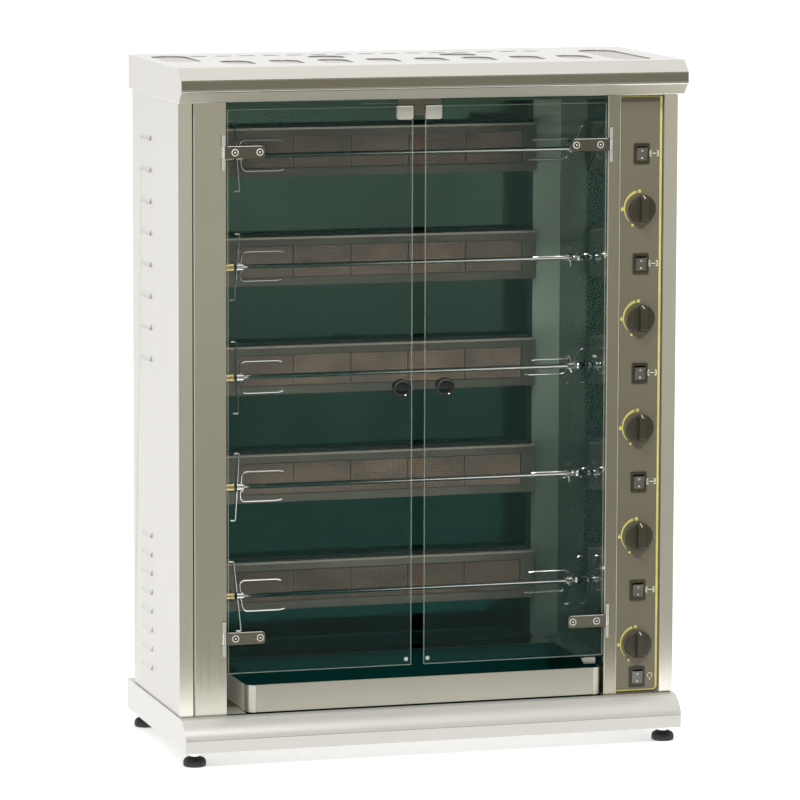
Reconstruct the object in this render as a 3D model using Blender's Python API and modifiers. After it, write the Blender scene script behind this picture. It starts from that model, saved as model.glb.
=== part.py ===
"""Free-standing gas rotisserie oven: five spits one above another behind two glass doors.

Metres, +Z up, front facing -Y. The origin is on the floor at the centre of the bounding box.
Each object in the collection "rotisserie_oven" is one physical piece.
"""

import math

import bmesh
import bpy
from mathutils import Matrix, Vector

# ---------------------------------------------------------------- driving dimensions
CABINET_WIDTH = 1.100
CABINET_DEPTH = 0.423
CABINET_HEIGHT = 1.306
PLINTH_DEPTH = 0.531
PLINTH_HEIGHT = 0.067
FRONT_OVERHANG = 0.058
FOOT_HEIGHT = 0.033
HOOD_HALF_WIDTH = 0.558
HOOD_HEIGHT = 0.075
SHEET = 0.0015
GAP = 0.0005

FRONT = FRONT_OVERHANG - PLINTH_DEPTH / 2
BACK = FRONT + CABINET_DEPTH
FLOOR = FOOT_HEIGHT + PLINTH_HEIGHT
CEILING = FLOOR + CABINET_HEIGHT
HALF_WIDTH = CABINET_WIDTH / 2

# front face, from left to right
SIDE_RETURN = 0.0285
POST_LEFT = -0.5200
OPENING_LEFT = -0.4495
OPENING_RIGHT = 0.3946
PANEL_LEFT = 0.4246
PANEL_RIGHT = 0.5253
STRIP_LEFT = 0.5280
POST_DEPTH = 0.025

# cooking cavity
LINER_DEPTH = 0.370
LINER_TOP = CEILING - 0.0075
COLUMN_LEFT = 0.3320
COLUMN_DEPTH = 0.325
LEDGE_HEIGHT = 0.079
LEDGE_Y = 0.300
LEFT_LEDGE_X = -0.4000
RIGHT_LEDGE_X = 0.3530
SPIT_COUNT = 5
SPIT_PITCH = 0.2375
SPIT_Y = FRONT + 0.155
TOP_SPIT_Z = FLOOR + 1.179
BURNER_DEPTH = 0.300
BURNER_ABOVE = 0.045
BURNER_BELOW = 0.060

# doors
GLASS = 0.006
GLASS_FRONT = FRONT - 0.0021
GLASS_BOTTOM = FLOOR + 0.090
GLASS_TOP = FLOOR + 1.290
LEFT_GLASS = (-0.4460, -0.0410)
RIGHT_GLASS = (-0.0130, 0.3915)
DOOR_GAP_X = (LEFT_GLASS[1] + RIGHT_GLASS[0]) / 2
HINGE_Y = FRONT - 0.0036
LEFT_HINGE_X = -0.4555
RIGHT_HINGE_X = 0.4010
HINGE_HEIGHTS = {"top": FLOOR + 1.2005, "bottom": FLOOR + 0.1660}
KNUCKLE = 0.0245
HANDLE_OFFSET = 0.048
HANDLE_Z = FLOOR + 0.695

# controls
CONTROL_X = 0.4710
KNOB_DROP = 0.1180
LIGHT_SWITCH_Z = FLOOR + 0.038
BEZEL = (0.034, 0.043)
ROCKER_WINDOW = (0.0246, 0.0316)
ROCKER_TILT = math.radians(7)

SPIT_HEIGHTS = [TOP_SPIT_Z - SPIT_PITCH * row for row in range(SPIT_COUNT)]
KNOB_HEIGHTS = [z - KNOB_DROP for z in SPIT_HEIGHTS]
SWITCH_HEIGHTS = SPIT_HEIGHTS + [LIGHT_SWITCH_Z]

TO_MINUS_Y = Matrix.Rotation(math.radians(90), 4, "X")
TO_PLUS_X = Matrix.Rotation(math.radians(90), 4, "Y")
# local (x, y, z) of an outline drawn in the YZ plane and extruded along X
YZ_ALONG_X = Matrix(((0, 0, 1, 0), (1, 0, 0, 0), (0, 1, 0, 0), (0, 0, 0, 1)))
# local (x, y, z) of an outline drawn in the XZ plane and extruded along Y
XZ_ALONG_Y = Matrix(((1, 0, 0, 0), (0, 0, -1, 0), (0, 1, 0, 0), (0, 0, 0, 1)))


# ---------------------------------------------------------------- scene and materials
def clear_scene():
    for obj in list(bpy.data.objects):
        bpy.data.objects.remove(obj, do_unlink=True)


def make_collection(name):
    collection = bpy.data.collections.new(name)
    bpy.context.scene.collection.children.link(collection)
    return collection


def make_material(name, colour, roughness, metallic=0.0, alpha=1.0):
    material = bpy.data.materials.new(name)
    material.use_nodes = True
    shader = material.node_tree.nodes["Principled BSDF"]
    shader.inputs["Base Color"].default_value = (*colour, 1.0)
    shader.inputs["Roughness"].default_value = roughness
    shader.inputs["Metallic"].default_value = metallic
    shader.inputs["Alpha"].default_value = alpha
    return material


# ---------------------------------------------------------------- shape helpers
def scratch_object(name, data):
    """An unfinished object, linked so that its modifiers can be evaluated."""
    obj = bpy.data.objects.new(name, data)
    bpy.context.scene.collection.objects.link(obj)
    return obj


def settle(obj):
    """Bakes the object's modifiers and transform into a clean mesh and removes the object."""
    graph = bpy.context.evaluated_depsgraph_get()
    mesh = bpy.data.meshes.new_from_object(obj.evaluated_get(graph))
    mesh.transform(obj.matrix_world)
    mesh.name = obj.name
    bpy.data.objects.remove(obj, do_unlink=True)
    shape = bmesh.new()
    shape.from_mesh(mesh)
    bmesh.ops.remove_doubles(shape, verts=shape.verts, dist=1e-6)
    bmesh.ops.recalc_face_normals(shape, faces=shape.faces)
    shape.to_mesh(mesh)
    shape.free()
    return mesh


def box(low, high):
    """A box between two corners."""
    low, high = Vector(low), Vector(high)
    shape = bmesh.new()
    bmesh.ops.create_cube(shape, size=1.0)
    size = high - low
    place = Matrix.Translation((low + high) / 2) @ Matrix.Diagonal((*size, 1.0))
    bmesh.ops.transform(shape, matrix=place, verts=shape.verts)
    mesh = bpy.data.meshes.new("box")
    shape.to_mesh(mesh)
    shape.free()
    return mesh


def cylinder(centre, radius, length, turn=None, segments=16):
    """A cylinder centred on a point, along Z unless a rotation turns it."""
    shape = bmesh.new()
    bmesh.ops.create_cone(
        shape, cap_ends=True, segments=segments, radius1=radius, radius2=radius, depth=length
    )
    place = Matrix.Translation(centre) @ (turn or Matrix())
    bmesh.ops.transform(shape, matrix=place, verts=shape.verts)
    mesh = bpy.data.meshes.new("cylinder")
    shape.to_mesh(mesh)
    shape.free()
    return mesh


def slab(loops, low, high, plane):
    """A flat outline with its holes, extruded between two levels of the plane's third axis."""
    curve = bpy.data.curves.new("outline", "CURVE")
    curve.dimensions = "2D"
    curve.fill_mode = "BOTH"
    curve.extrude = (high - low) / 2
    for loop in loops:
        spline = curve.splines.new("POLY")
        spline.points.add(len(loop) - 1)
        spline.use_cyclic_u = True
        for point, (across, up) in zip(spline.points, loop):
            point.co = (across, up, 0, 1)
    obj = scratch_object("outline", curve)
    obj.matrix_world = plane @ Matrix.Translation((0, 0, (low + high) / 2))
    bpy.context.view_layer.update()
    return settle(obj)


def folded_sheet(path, low, high, plane, thickness=SHEET):
    """A bent sheet: an open path, extruded, with its thickness on the path's left-hand side."""
    shape = bmesh.new()
    ends = [[shape.verts.new((*point, level)) for point in path] for level in (low, high)]
    for first, second in zip(range(len(path) - 1), range(1, len(path))):
        shape.faces.new((ends[0][first], ends[0][second], ends[1][second], ends[1][first]))
    mesh = bpy.data.meshes.new("sheet")
    shape.to_mesh(mesh)
    shape.free()
    obj = scratch_object("sheet", mesh)
    obj.matrix_world = plane
    solid = obj.modifiers.new("thickness", "SOLIDIFY")
    solid.thickness = thickness
    solid.offset = -1
    solid.use_even_offset = True
    bpy.context.view_layer.update()
    return settle(obj)


def turned(profile, steps=16, place=None):
    """A turned solid. The profile is (radius, height), from its top to its bottom."""
    shape = bmesh.new()
    points = [shape.verts.new((radius, 0, height)) for radius, height in profile]
    for first, second in zip(points, points[1:]):
        shape.edges.new((first, second))
    mesh = bpy.data.meshes.new("profile")
    shape.to_mesh(mesh)
    shape.free()
    obj = scratch_object("turned", mesh)
    obj.matrix_world = place or Matrix()
    screw = obj.modifiers.new("screw", "SCREW")
    screw.steps = screw.render_steps = steps
    screw.use_merge_vertices = True
    screw.merge_threshold = 1e-6
    bpy.context.view_layer.update()
    return settle(obj)


def wire(points, radius):
    """A round wire with closed ends along a list of points."""
    curve = bpy.data.curves.new("wire", "CURVE")
    curve.dimensions = "3D"
    curve.bevel_depth = radius
    curve.bevel_resolution = 1
    curve.use_fill_caps = True
    spline = curve.splines.new("POLY")
    spline.points.add(len(points) - 1)
    for point, place in zip(spline.points, points):
        point.co = (*place, 1)
    return settle(scratch_object("wire", curve))


def combine(base, others, operation):
    """Joins meshes to a base mesh, or cuts them from it."""
    obj = scratch_object("base", base)
    tools = [scratch_object("tool", other) for other in others]
    for tool in tools:
        modifier = obj.modifiers.new("combine", "BOOLEAN")
        modifier.operation = operation
        modifier.object = tool
    bpy.context.view_layer.update()
    result = settle(obj)
    for tool in tools:
        bpy.data.objects.remove(tool, do_unlink=True)
    return result


def fuse(base, *others):
    return combine(base, others, "UNION")


def cut(base, *others):
    return combine(base, others, "DIFFERENCE")


def gather(meshes):
    """Several separate shapes as one mesh, for one Boolean."""
    shape = bmesh.new()
    for mesh in meshes:
        shape.from_mesh(mesh)
    mesh = bpy.data.meshes.new("group")
    shape.to_mesh(mesh)
    shape.free()
    return mesh


def moved(mesh, matrix):
    copy = mesh.copy()
    copy.transform(matrix)
    return copy


def place_piece(name, mesh, material, pivot=(0, 0, 0), smooth=False):
    """Adds a finished piece, modelled in world space, with its origin on its pivot."""
    mesh = mesh.copy()
    mesh.name = name
    mesh.transform(Matrix.Translation(-Vector(pivot)))
    mesh.materials.clear()
    mesh.materials.append(material)
    if smooth:
        mesh.shade_smooth()
        mesh.set_sharp_from_angle(angle=math.radians(35))
    obj = bpy.data.objects.new(name, mesh)
    obj.location = pivot
    PARTS.objects.link(obj)
    return obj


def hang_on_axis(name, place, pieces):
    """Parents the pieces of a moving group to an empty on their joint's axis."""
    pivot = bpy.data.objects.new(name, None)
    pivot.location = place
    PARTS.objects.link(pivot)
    bpy.context.view_layer.update()
    for piece in pieces:
        piece.parent = pivot
        piece.matrix_parent_inverse = pivot.matrix_world.inverted()


def arc(centre, radius, start, end, steps):
    """Points on a circle between two angles in degrees, both ends included."""
    turn = [math.radians(start + (end - start) * step / steps) for step in range(steps + 1)]
    return [(centre[0] + radius * math.cos(a), centre[1] + radius * math.sin(a)) for a in turn]


def rectangle(left, bottom, right, top):
    return [(left, bottom), (right, bottom), (right, top), (left, top)]


def rounded_rectangle(left, bottom, right, top, radii, steps=3):
    """A rectangle with its own radius at the bottom left, bottom right, top right and top left."""
    inset = [
        (left + radii[0], bottom + radii[0]),
        (right - radii[1], bottom + radii[1]),
        (right - radii[2], top - radii[2]),
        (left + radii[3], top - radii[3]),
    ]
    loop = []
    for corner, (centre, radius) in enumerate(zip(inset, radii)):
        start = 180 + 90 * corner
        loop += arc(centre, radius, start, start + 90, steps) if radius else [centre]
    return loop


def circle(centre, radius, steps=16):
    return arc(centre, radius, 0, 360 - 360 / steps, steps - 1)


def obround(centre, width, height, steps=4):
    """A slot with round ends, longer along its first axis."""
    radius = height / 2
    reach = width / 2 - radius
    right = arc((centre[0] + reach, centre[1]), radius, -90, 90, steps)
    left = arc((centre[0] - reach, centre[1]), radius, 90, 270, steps)
    return right + left


# ---------------------------------------------------------------- plinth and feet
PLINTH_SIDE = 0.554
FOOT_X = 0.525
FOOT_FRONT_Y = FRONT - 0.020
FOOT_BACK_Y = FRONT + 0.424
BRACKET = 0.022


def plinth_profile(inset):
    """(y, z) of the bowed plinth, from its lower front edge over the top to its lower back edge."""
    front = -PLINTH_DEPTH / 2 + inset
    bow_height = 0.029
    bow = [
        (front + 0.0030, FLOOR - 0.0330),
        (front + 0.0110, FLOOR - 0.0190),
        (front + 0.0240, FLOOR - 0.0070),
        (front + 0.0400, FLOOR - inset),
    ]
    lower = [(front, FOOT_HEIGHT), (front, FLOOR - 0.040), (front, FLOOR - bow_height - 0.0100)]
    return lower + bow + [(PLINTH_DEPTH / 2 - inset, FLOOR - inset), (PLINTH_DEPTH / 2 - inset, FOOT_HEIGHT)]


def make_plinth():
    """Bowed sheet-steel base, open below, with a bracket for each foot in its corners."""
    wall = 0.003
    outer = slab([plinth_profile(0)], -PLINTH_SIDE, PLINTH_SIDE, YZ_ALONG_X)
    inner = plinth_profile(wall)
    inner[0] = (inner[0][0], FOOT_HEIGHT - wall)
    inner[-1] = (inner[-1][0], FOOT_HEIGHT - wall)
    pocket = slab([inner], wall - PLINTH_SIDE, PLINTH_SIDE - wall, YZ_ALONG_X)
    crease = box(
        (-HOOD_HALF_WIDTH, -PLINTH_DEPTH / 2 - 0.001, FLOOR - 0.0405),
        (HOOD_HALF_WIDTH, 0.0012 - PLINTH_DEPTH / 2, FLOOR - 0.0393),
    )
    shell = cut(outer, pocket, crease)
    brackets = []
    for side in (-1, 1):
        inner, outer = sorted((side * (FOOT_X - BRACKET), side * (PLINTH_SIDE - wall / 2)))
        for y in (FOOT_FRONT_Y, FOOT_BACK_Y):
            low = (inner, y - BRACKET, FOOT_HEIGHT + 0.003)
            high = (outer, y + BRACKET, FOOT_HEIGHT + 0.015)
            brackets.append(box(low, high))
    place_piece("base_plinth", fuse(shell, *brackets), PALE_STEEL)


def make_feet():
    """Black levelling feet, each on a threaded stem."""
    pad = 0.021
    profile = [
        (0.0, FOOT_HEIGHT + 0.0027),
        (0.0060, FOOT_HEIGHT + 0.0027),
        (0.0060, pad + 0.0010),
        (0.0140, pad),
        (0.0205, pad - 0.0035),
        (0.0245, pad - 0.0095),
        (0.0245, 0.0065),
        (0.0205, 0.0),
        (0.0, 0.0),
    ]
    mesh = turned(profile, 16)
    for side, x in (("left", -FOOT_X), ("right", FOOT_X)):
        for end, y in (("front", FOOT_FRONT_Y), ("rear", FOOT_BACK_Y)):
            here = Matrix.Translation((x, y, 0))
            place_piece(f"{end}_{side}_foot", moved(mesh, here), BLACK_RUBBER, (x, y, 0), True)


# ---------------------------------------------------------------- cabinet shell
LOUVRE_LENGTH = 0.086
LOUVRE_HEIGHT = 0.016
LOUVRE_RISE = 0.004
LOUVRE_Y = FRONT + 0.297
UPPER_LOUVRES = [FLOOR + 1.215 - 0.0680 * row for row in range(8)]
LOWER_LOUVRES = [FLOOR + 0.355 - 0.0415 * row for row in range(8)]


def louvres(side):
    """Pressed cooling louvres on a side panel, each a wedge that is deepest at its lower edge."""
    face = side * (HALF_WIDTH - SHEET / 2)
    peak = side * (HALF_WIDTH + LOUVRE_RISE)
    wedges = []
    for z in UPPER_LOUVRES + LOWER_LOUVRES:
        high, low = z + LOUVRE_HEIGHT / 2, z - LOUVRE_HEIGHT / 2
        outline = [(face, high), (face, low), (peak, low)]
        start, end = -LOUVRE_Y - LOUVRE_LENGTH / 2, LOUVRE_LENGTH / 2 - LOUVRE_Y
        wedges.append(slab([outline], start, end, XZ_ALONG_Y))
    return gather(wedges)


def make_side_panels():
    """Folded side panels, each with a front return and a rear return."""
    rear_return = 0.020
    low, high = FLOOR + GAP, CEILING
    path = [
        (-HALF_WIDTH + rear_return, BACK),
        (-HALF_WIDTH, BACK),
        (-HALF_WIDTH, FRONT),
        (-HALF_WIDTH + SIDE_RETURN, FRONT),
    ]
    left = folded_sheet(path, low, high, Matrix())
    place_piece("left_side_panel", fuse(left, louvres(-1)), PALE_STEEL)
    path = [
        (STRIP_LEFT, FRONT),
        (HALF_WIDTH, FRONT),
        (HALF_WIDTH, BACK),
        (HALF_WIDTH - rear_return, BACK),
    ]
    right = folded_sheet(path, low, high, Matrix())
    notch = box(
        (STRIP_LEFT - 0.01, FRONT - 0.01, FLOOR - 0.01),
        (HALF_WIDTH - SHEET, FRONT + 0.01, FLOOR + 0.007),
    )
    place_piece("right_side_panel", cut(fuse(right, louvres(1)), notch), PALE_STEEL)


def make_back_panel():
    inside = HALF_WIDTH - 2 * SHEET
    low = (-inside, BACK - 2 * SHEET - GAP, FLOOR + GAP)
    high = (inside, BACK - SHEET - GAP, CEILING)
    place_piece("back_panel", box(low, high), PALE_STEEL)


def knuckle_set(x, z):
    """The fixed half of a door hinge: two outer knuckles on their pin, welded to the post."""
    centre = Vector((x, HINGE_Y, z))
    away = Vector((0, 0, KNUCKLE + GAP))
    pin = cylinder(centre, 0.0015, 2.4 * KNUCKLE, segments=8)
    barrels = [cylinder(centre + way * away, 0.0038, KNUCKLE, segments=12) for way in (-1, 1)]
    return [fuse(pin, *barrels)]


def make_posts():
    """Front posts beside the doors: channels with the fixed hinge knuckles on them."""
    rear = FRONT + POST_DEPTH
    places = {
        "left_post": (POST_LEFT, OPENING_LEFT, LEFT_HINGE_X),
        "right_post": (OPENING_RIGHT, PANEL_LEFT - GAP, RIGHT_HINGE_X),
    }
    for name, (left, right, hinge_x) in places.items():
        path = [(left, rear), (left, FRONT), (right, FRONT), (right, rear)]
        channel = folded_sheet(path, FLOOR + GAP, CEILING, Matrix())
        knuckles = [part for z in HINGE_HEIGHTS.values() for part in knuckle_set(hinge_x, z)]
        place_piece(name, fuse(channel, *knuckles), SATIN_STEEL)


HOOD_BOTTOM = CEILING + 0.0015
HOOD_TOP = CEILING + HOOD_HEIGHT


def hood_profile(inset, bottom):
    """(y, z) of the hood: lower front edge, sloped nose, top and back."""
    return [
        (FRONT - 0.027 + inset, bottom),
        (FRONT - 0.0535 + inset, CEILING + 0.0270),
        (FRONT - 0.0525 + inset, CEILING + 0.0510),
        (FRONT - 0.0260 + inset / 2, HOOD_TOP - inset),
        (BACK - inset, HOOD_TOP - inset),
        (BACK - inset, bottom),
    ]


def vent_slots():
    """Outlines of the vent openings in the hood's top, in the XY plane."""
    slots = [obround((0.0535 * (column - 7) - 0.054, FRONT + 0.315), 0.038, 0.016, 3) for column in range(15)]
    upright = [(-0.495, 0.250, 0.200, 0.078), (0.463, 0.165, 0.320, 0.084)]
    upright += [(-0.165, 0.240, 0.090, 0.078), (0.130, 0.240, 0.090, 0.078)]
    upright += [(0.107 * column - 0.393, 0.115, 0.120, 0.064) for column in range(8)]
    for x, depth, length, width in upright:
        outline = obround((0, 0), length, width, 5)
        slots.append([(x - across, FRONT + depth + along) for along, across in outline])
    return slots


def make_hood():
    """Top hood with a sloped nose, open below, with vent openings in its top."""
    outer = slab([hood_profile(0, HOOD_BOTTOM)], -HOOD_HALF_WIDTH, HOOD_HALF_WIDTH, YZ_ALONG_X)
    wall = 0.002
    reach = HOOD_HALF_WIDTH - wall
    pocket = slab([hood_profile(wall, HOOD_BOTTOM + wall)], -reach, reach, YZ_ALONG_X)
    mouth = box(
        (-HALF_WIDTH + wall, FRONT + 0.004, CEILING - 0.01),
        (HALF_WIDTH - wall, BACK - wall, HOOD_BOTTOM + 2 * wall),
    )
    vents = gather([slab([loop], HOOD_TOP - 0.006, HOOD_TOP + 0.004, Matrix()) for loop in vent_slots()])
    place_piece("top_hood", cut(outer, pocket, mouth, vents), PALE_STEEL)


# ---------------------------------------------------------------- cooking cavity
BUSH_END_X = -0.3945
LEFT_FORK_X = -0.3810
RIGHT_FORK_X = 0.3640
FORK_ANGLES = (-17, 17, -8, 12, -24)
DRIVE_END_X = 0.4045


def drip_ledge(wall, edge, low, high, plane):
    """A sloping sheet that leads drips from a wall into the tray."""
    at_wall, at_edge = FLOOR + LEDGE_HEIGHT + 0.009, FLOOR + LEDGE_HEIGHT
    outline = [(wall, at_wall), (edge, at_edge), (edge, at_edge + SHEET), (wall, at_wall + SHEET)]
    return slab([outline], low, high, plane)


def make_cavity():
    """Folded liner of floor, back and ceiling, and the two side walls that carry the spits."""
    rear = FRONT + LINER_DEPTH
    path = [
        (FRONT, CEILING - GAP),
        (FRONT, LINER_TOP),
        (rear, LINER_TOP),
        (rear, FLOOR + 0.002),
        (FRONT + GAP, FLOOR + 0.002),
    ]
    liner = folded_sheet(path, OPENING_LEFT + GAP, OPENING_RIGHT - GAP, YZ_ALONG_X)
    ledge = drip_ledge(rear + SHEET / 2, FRONT + LEDGE_Y, OPENING_LEFT + GAP, COLUMN_LEFT - GAP, YZ_ALONG_X)
    place_piece("cavity_liner", fuse(liner, ledge), MIRROR_STEEL)

    wall_front = FRONT + POST_DEPTH + GAP
    ledge_reach = (-FRONT - LEDGE_Y + 2 * GAP, -wall_front)
    low, high = FLOOR + 0.0025, LINER_TOP - GAP
    wall = box((OPENING_LEFT - SHEET, wall_front, low), (OPENING_LEFT, rear, high))
    bushes, bores = [], []
    for z in SPIT_HEIGHTS:
        middle = Vector(((OPENING_LEFT + BUSH_END_X) / 2, SPIT_Y, z))
        length = BUSH_END_X - OPENING_LEFT + SHEET
        bushes.append(cylinder(middle, 0.0102, length, TO_PLUS_X))
        bores.append(cylinder(middle, 0.0056, length + 0.02, TO_PLUS_X, 12))
    ledge = drip_ledge(OPENING_LEFT - SHEET / 2, LEFT_LEDGE_X, *ledge_reach, XZ_ALONG_Y)
    left = cut(fuse(wall, ledge, gather(bushes)), gather(bores))
    place_piece("cavity_left_wall", left, MIRROR_STEEL)

    column = FRONT + COLUMN_DEPTH
    path = [(COLUMN_LEFT, rear - GAP), (COLUMN_LEFT, column)]
    path += [(OPENING_RIGHT, column), (OPENING_RIGHT, wall_front)]
    folded = folded_sheet(path, low, high, Matrix())
    holes = [cylinder((OPENING_RIGHT, SPIT_Y, z), 0.009, 0.02, TO_PLUS_X, 12) for z in SPIT_HEIGHTS]
    ledge = drip_ledge(OPENING_RIGHT + SHEET / 2, RIGHT_LEDGE_X, *ledge_reach, XZ_ALONG_Y)
    place_piece("cavity_right_wall", cut(fuse(folded, ledge), gather(holes)), MIRROR_STEEL)


def make_burners():
    """Infrared gas burners, one behind each spit, hollow behind a recessed plaque."""
    face = FRONT + BURNER_DEPTH
    rear = FRONT + LINER_DEPTH - GAP
    left, right = OPENING_LEFT + 2 * GAP, COLUMN_LEFT - GAP
    for row, z in enumerate(SPIT_HEIGHTS, 1):
        low, high = z - BURNER_BELOW, z + BURNER_ABOVE
        body = box((left, face, low), (right, rear, high))
        inside = box((left + 0.002, face + 0.009, low + 0.002), (right - 0.002, rear + 0.01, high - 0.002))
        recess = box((-0.352, face - 0.01, z - 0.042), (0.300, face + 0.005, z + 0.027))
        place_piece(f"burner_{row}", cut(body, inside, recess), DARK_STEEL)


def make_spits():
    """Turned spit rods: a journal in each bush, and a collar and a drive end on the right."""
    length = DRIVE_END_X - OPENING_LEFT
    start = OPENING_LEFT
    marks = [
        (0.0, length),
        (0.0050, length),
        (0.0050, 0.3880 - start),
        (0.0090, 0.3875 - start),
        (0.0090, 0.3780 - start),
        (0.0050, 0.3775 - start),
        (0.0050, 0.0),
        (0.0, 0.0),
    ]
    rod = turned(marks, 12, TO_PLUS_X)
    for row, z in enumerate(SPIT_HEIGHTS, 1):
        here = Matrix.Translation((start, SPIT_Y, z))
        place_piece(f"spit_rod_{row}", moved(rod, here), BRIGHT_STEEL, (start, SPIT_Y, z), True)


def fork_mesh():
    """A meat fork about the origin: hub, cross wire, two prongs towards +X, thumb screw."""
    hub_radius, hub_width = 0.0095, 0.016
    spread, prong, bend = 0.034, 0.095, 0.012
    reach, hook, rear = 0.078, 0.011, -0.005
    hub = turned(
        [
            (0.0056, hub_width / 2),
            (hub_radius, hub_width / 2),
            (hub_radius, -hub_width / 2),
            (0.0056, -hub_width / 2),
            (0.0056, hub_width / 2),
        ],
        12,
        TO_PLUS_X,
    )
    pieces = []
    for way in (1, -1):
        corner = arc((0.003 + bend, spread - bend), bend, 180, 90, 3)
        path = [(0.003, 0.0080)] + corner + [(prong - 0.012, spread), (prong, spread - 0.003)]
        pieces.append(wire([(x, 0, way * z) for x, z in path], 0.0022))
        curl = arc((rear - 0.004, reach - 0.006), 0.004, 0, 90, 2)
        path = [(rear, 0.0080)] + curl + [(rear - hook, reach - 0.002)]
        pieces.append(wire([(x, 0, way * z) for x, z in path], 0.0020))
    pieces.append(cylinder((0, 0.0165, 0), 0.0035, 0.017, Matrix.Rotation(math.radians(90), 4, "X"), 8))
    return fuse(hub, *pieces)


def make_forks():
    """Two forks on each spit, prongs facing each other, each spit stopped at its own angle."""
    mesh = fork_mesh()
    half_turn = Matrix.Rotation(math.pi, 4, "Z")
    for row, (z, angle) in enumerate(zip(SPIT_HEIGHTS, FORK_ANGLES), 1):
        left_turn = Matrix.Rotation(math.radians(angle), 4, "X")
        right_turn = Matrix.Rotation(math.radians(angle + 62), 4, "X")
        left = Matrix.Translation((LEFT_FORK_X, SPIT_Y, z)) @ left_turn
        right = Matrix.Translation((RIGHT_FORK_X, SPIT_Y, z)) @ right_turn @ half_turn
        axis = (OPENING_LEFT, SPIT_Y, z)
        place_piece(f"left_fork_{row}", moved(mesh, left), BRIGHT_STEEL, axis, True)
        place_piece(f"right_fork_{row}", moved(mesh, right), BRIGHT_STEEL, axis, True)


def make_drip_tray():
    """Drip tray with rounded front corners and a folded lip along its front."""
    left, right = -0.4055, 0.3905
    low, high = FLOOR + 0.003, FLOOR + 0.063
    front, rear = FRONT - 0.0010, FRONT + 0.318
    radius, wall = 0.020, 0.0015
    outer = rounded_rectangle(left, front, right, rear, (radius, radius, 0, 0), 4)
    radii = (radius - wall,) * 2 + (0, 0)
    inner = rounded_rectangle(left + wall, front + wall, right - wall, rear - wall, radii, 4)
    body = cut(slab([outer], low, high, Matrix()), slab([inner], low + wall, high + 0.01, Matrix()))
    lip = rounded_rectangle(-0.3620, high - 0.0165, 0.3620, high + 0.0006, (0.012, 0.012, 0, 0))
    fold = slab([lip], -front - 0.0008, 0.0012 - front, XZ_ALONG_Y)
    place_piece("drip_tray", fuse(body, fold), SATIN_STEEL)


def make_lamp():
    """Oblong light fitting under the cavity's ceiling."""
    middle_x, middle_y = DOOR_GAP_X, FRONT + 0.220
    along, across = 0.075, 0.022
    low_corner, high_corner = (middle_x - along, middle_y - across), (middle_x + along, middle_y + across)
    outline = rounded_rectangle(*low_corner, *high_corner, (0.010,) * 4)
    fitting = slab([outline], LINER_TOP - 0.018, LINER_TOP - GAP, Matrix())
    place_piece("interior_lamp", fitting, WARM_GLASS)


# ---------------------------------------------------------------- doors
def leaf_mesh():
    """A door's half of a hinge about the pin: bored knuckle, plate and two screw heads."""
    reach, thickness, height = 0.0895, 0.0024, 0.0265
    outline = rounded_rectangle(0.0020, -height / 2, reach, height / 2, (0, 0.006, 0.006, 0))
    plate = slab([outline], -thickness / 2, thickness / 2, XZ_ALONG_Y)
    knuckle = cylinder((0, 0, 0), 0.0032, KNUCKLE, segments=12)
    bore = cylinder((0, 0, 0), 0.0019, 2 * KNUCKLE, segments=8)
    heads = [cylinder((x, -0.0028, 0), 0.0040, 0.0035, TO_MINUS_Y, 12) for x in (0.0245, 0.0785)]
    room = [
        cylinder((0, 0, way * KNUCKLE), 0.0042, KNUCKLE, segments=12) for way in (-1, 1)
    ]
    return cut(fuse(plate, knuckle, *heads), bore, *room)


def handle_mesh():
    """A round dished door handle about the glass's front face, standing along local +Z."""
    profile = [
        (0.0, 0.0380),
        (0.0130, 0.0390),
        (0.0170, 0.0415),
        (0.0195, 0.0410),
        (0.0200, 0.0375),
        (0.0190, 0.0300),
        (0.0110, 0.0200),
        (0.0090, 0.0100),
        (0.0110, 0.0003),
        (0.0, 0.0003),
    ]
    return turned(profile, 20, TO_MINUS_Y)


def clip_mesh(left, right):
    """A U-shaped steel plate over the top edge of a door's glass."""
    plate, play = 0.0013, 0.0003
    low, high = FLOOR + 1.2625, GLASS_TOP + play + plate
    outer_front = GLASS_FRONT - play - plate
    outer_rear = GLASS_FRONT + GLASS + play + plate
    outline = rounded_rectangle(left, low, right, high, (0.005, 0.005, 0, 0))
    block = slab([outline], -outer_rear, -outer_front, XZ_ALONG_Y)
    slot = box(
        (left - 0.01, GLASS_FRONT - play, low - 0.01),
        (right + 0.01, GLASS_FRONT + GLASS + play, GLASS_TOP + play),
    )
    return cut(block, slot)


def make_doors():
    """Two frameless glass doors with their hinge leaves, handles and top clips."""
    flip = Matrix.Rotation(math.pi, 4, "Y")
    doors = {
        "left": (LEFT_GLASS, LEFT_HINGE_X, Matrix(), -1),
        "right": (RIGHT_GLASS, RIGHT_HINGE_X, flip, 1),
    }
    leaf, handle = leaf_mesh(), handle_mesh()
    for side, (span, hinge_x, turn, way) in doors.items():
        axis = (hinge_x, HINGE_Y, FLOOR)
        low = (span[0], GLASS_FRONT, GLASS_BOTTOM)
        high = (span[1], GLASS_FRONT + GLASS, GLASS_TOP)
        pieces = [place_piece(f"{side}_door_glass", box(low, high), TINTED_GLASS, axis)]
        for end, z in HINGE_HEIGHTS.items():
            here = Matrix.Translation((hinge_x, HINGE_Y, z)) @ turn
            pieces.append(place_piece(f"{side}_{end}_hinge_leaf", moved(leaf, here), SATIN_STEEL, axis))
        grip = Matrix.Translation((DOOR_GAP_X + way * HANDLE_OFFSET, GLASS_FRONT, HANDLE_Z))
        pieces.append(place_piece(f"{side}_door_handle", moved(handle, grip), BLACK_GLOSS, axis, True))
        edge = span[1] + 0.0005 if side == "left" else span[0] - 0.0005
        clip = clip_mesh(*sorted((edge, edge + way * 0.0360)))
        pieces.append(place_piece(f"{side}_door_clip", clip, SATIN_STEEL, axis))
        hang_on_axis(f"{side}_door", axis, pieces)


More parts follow.
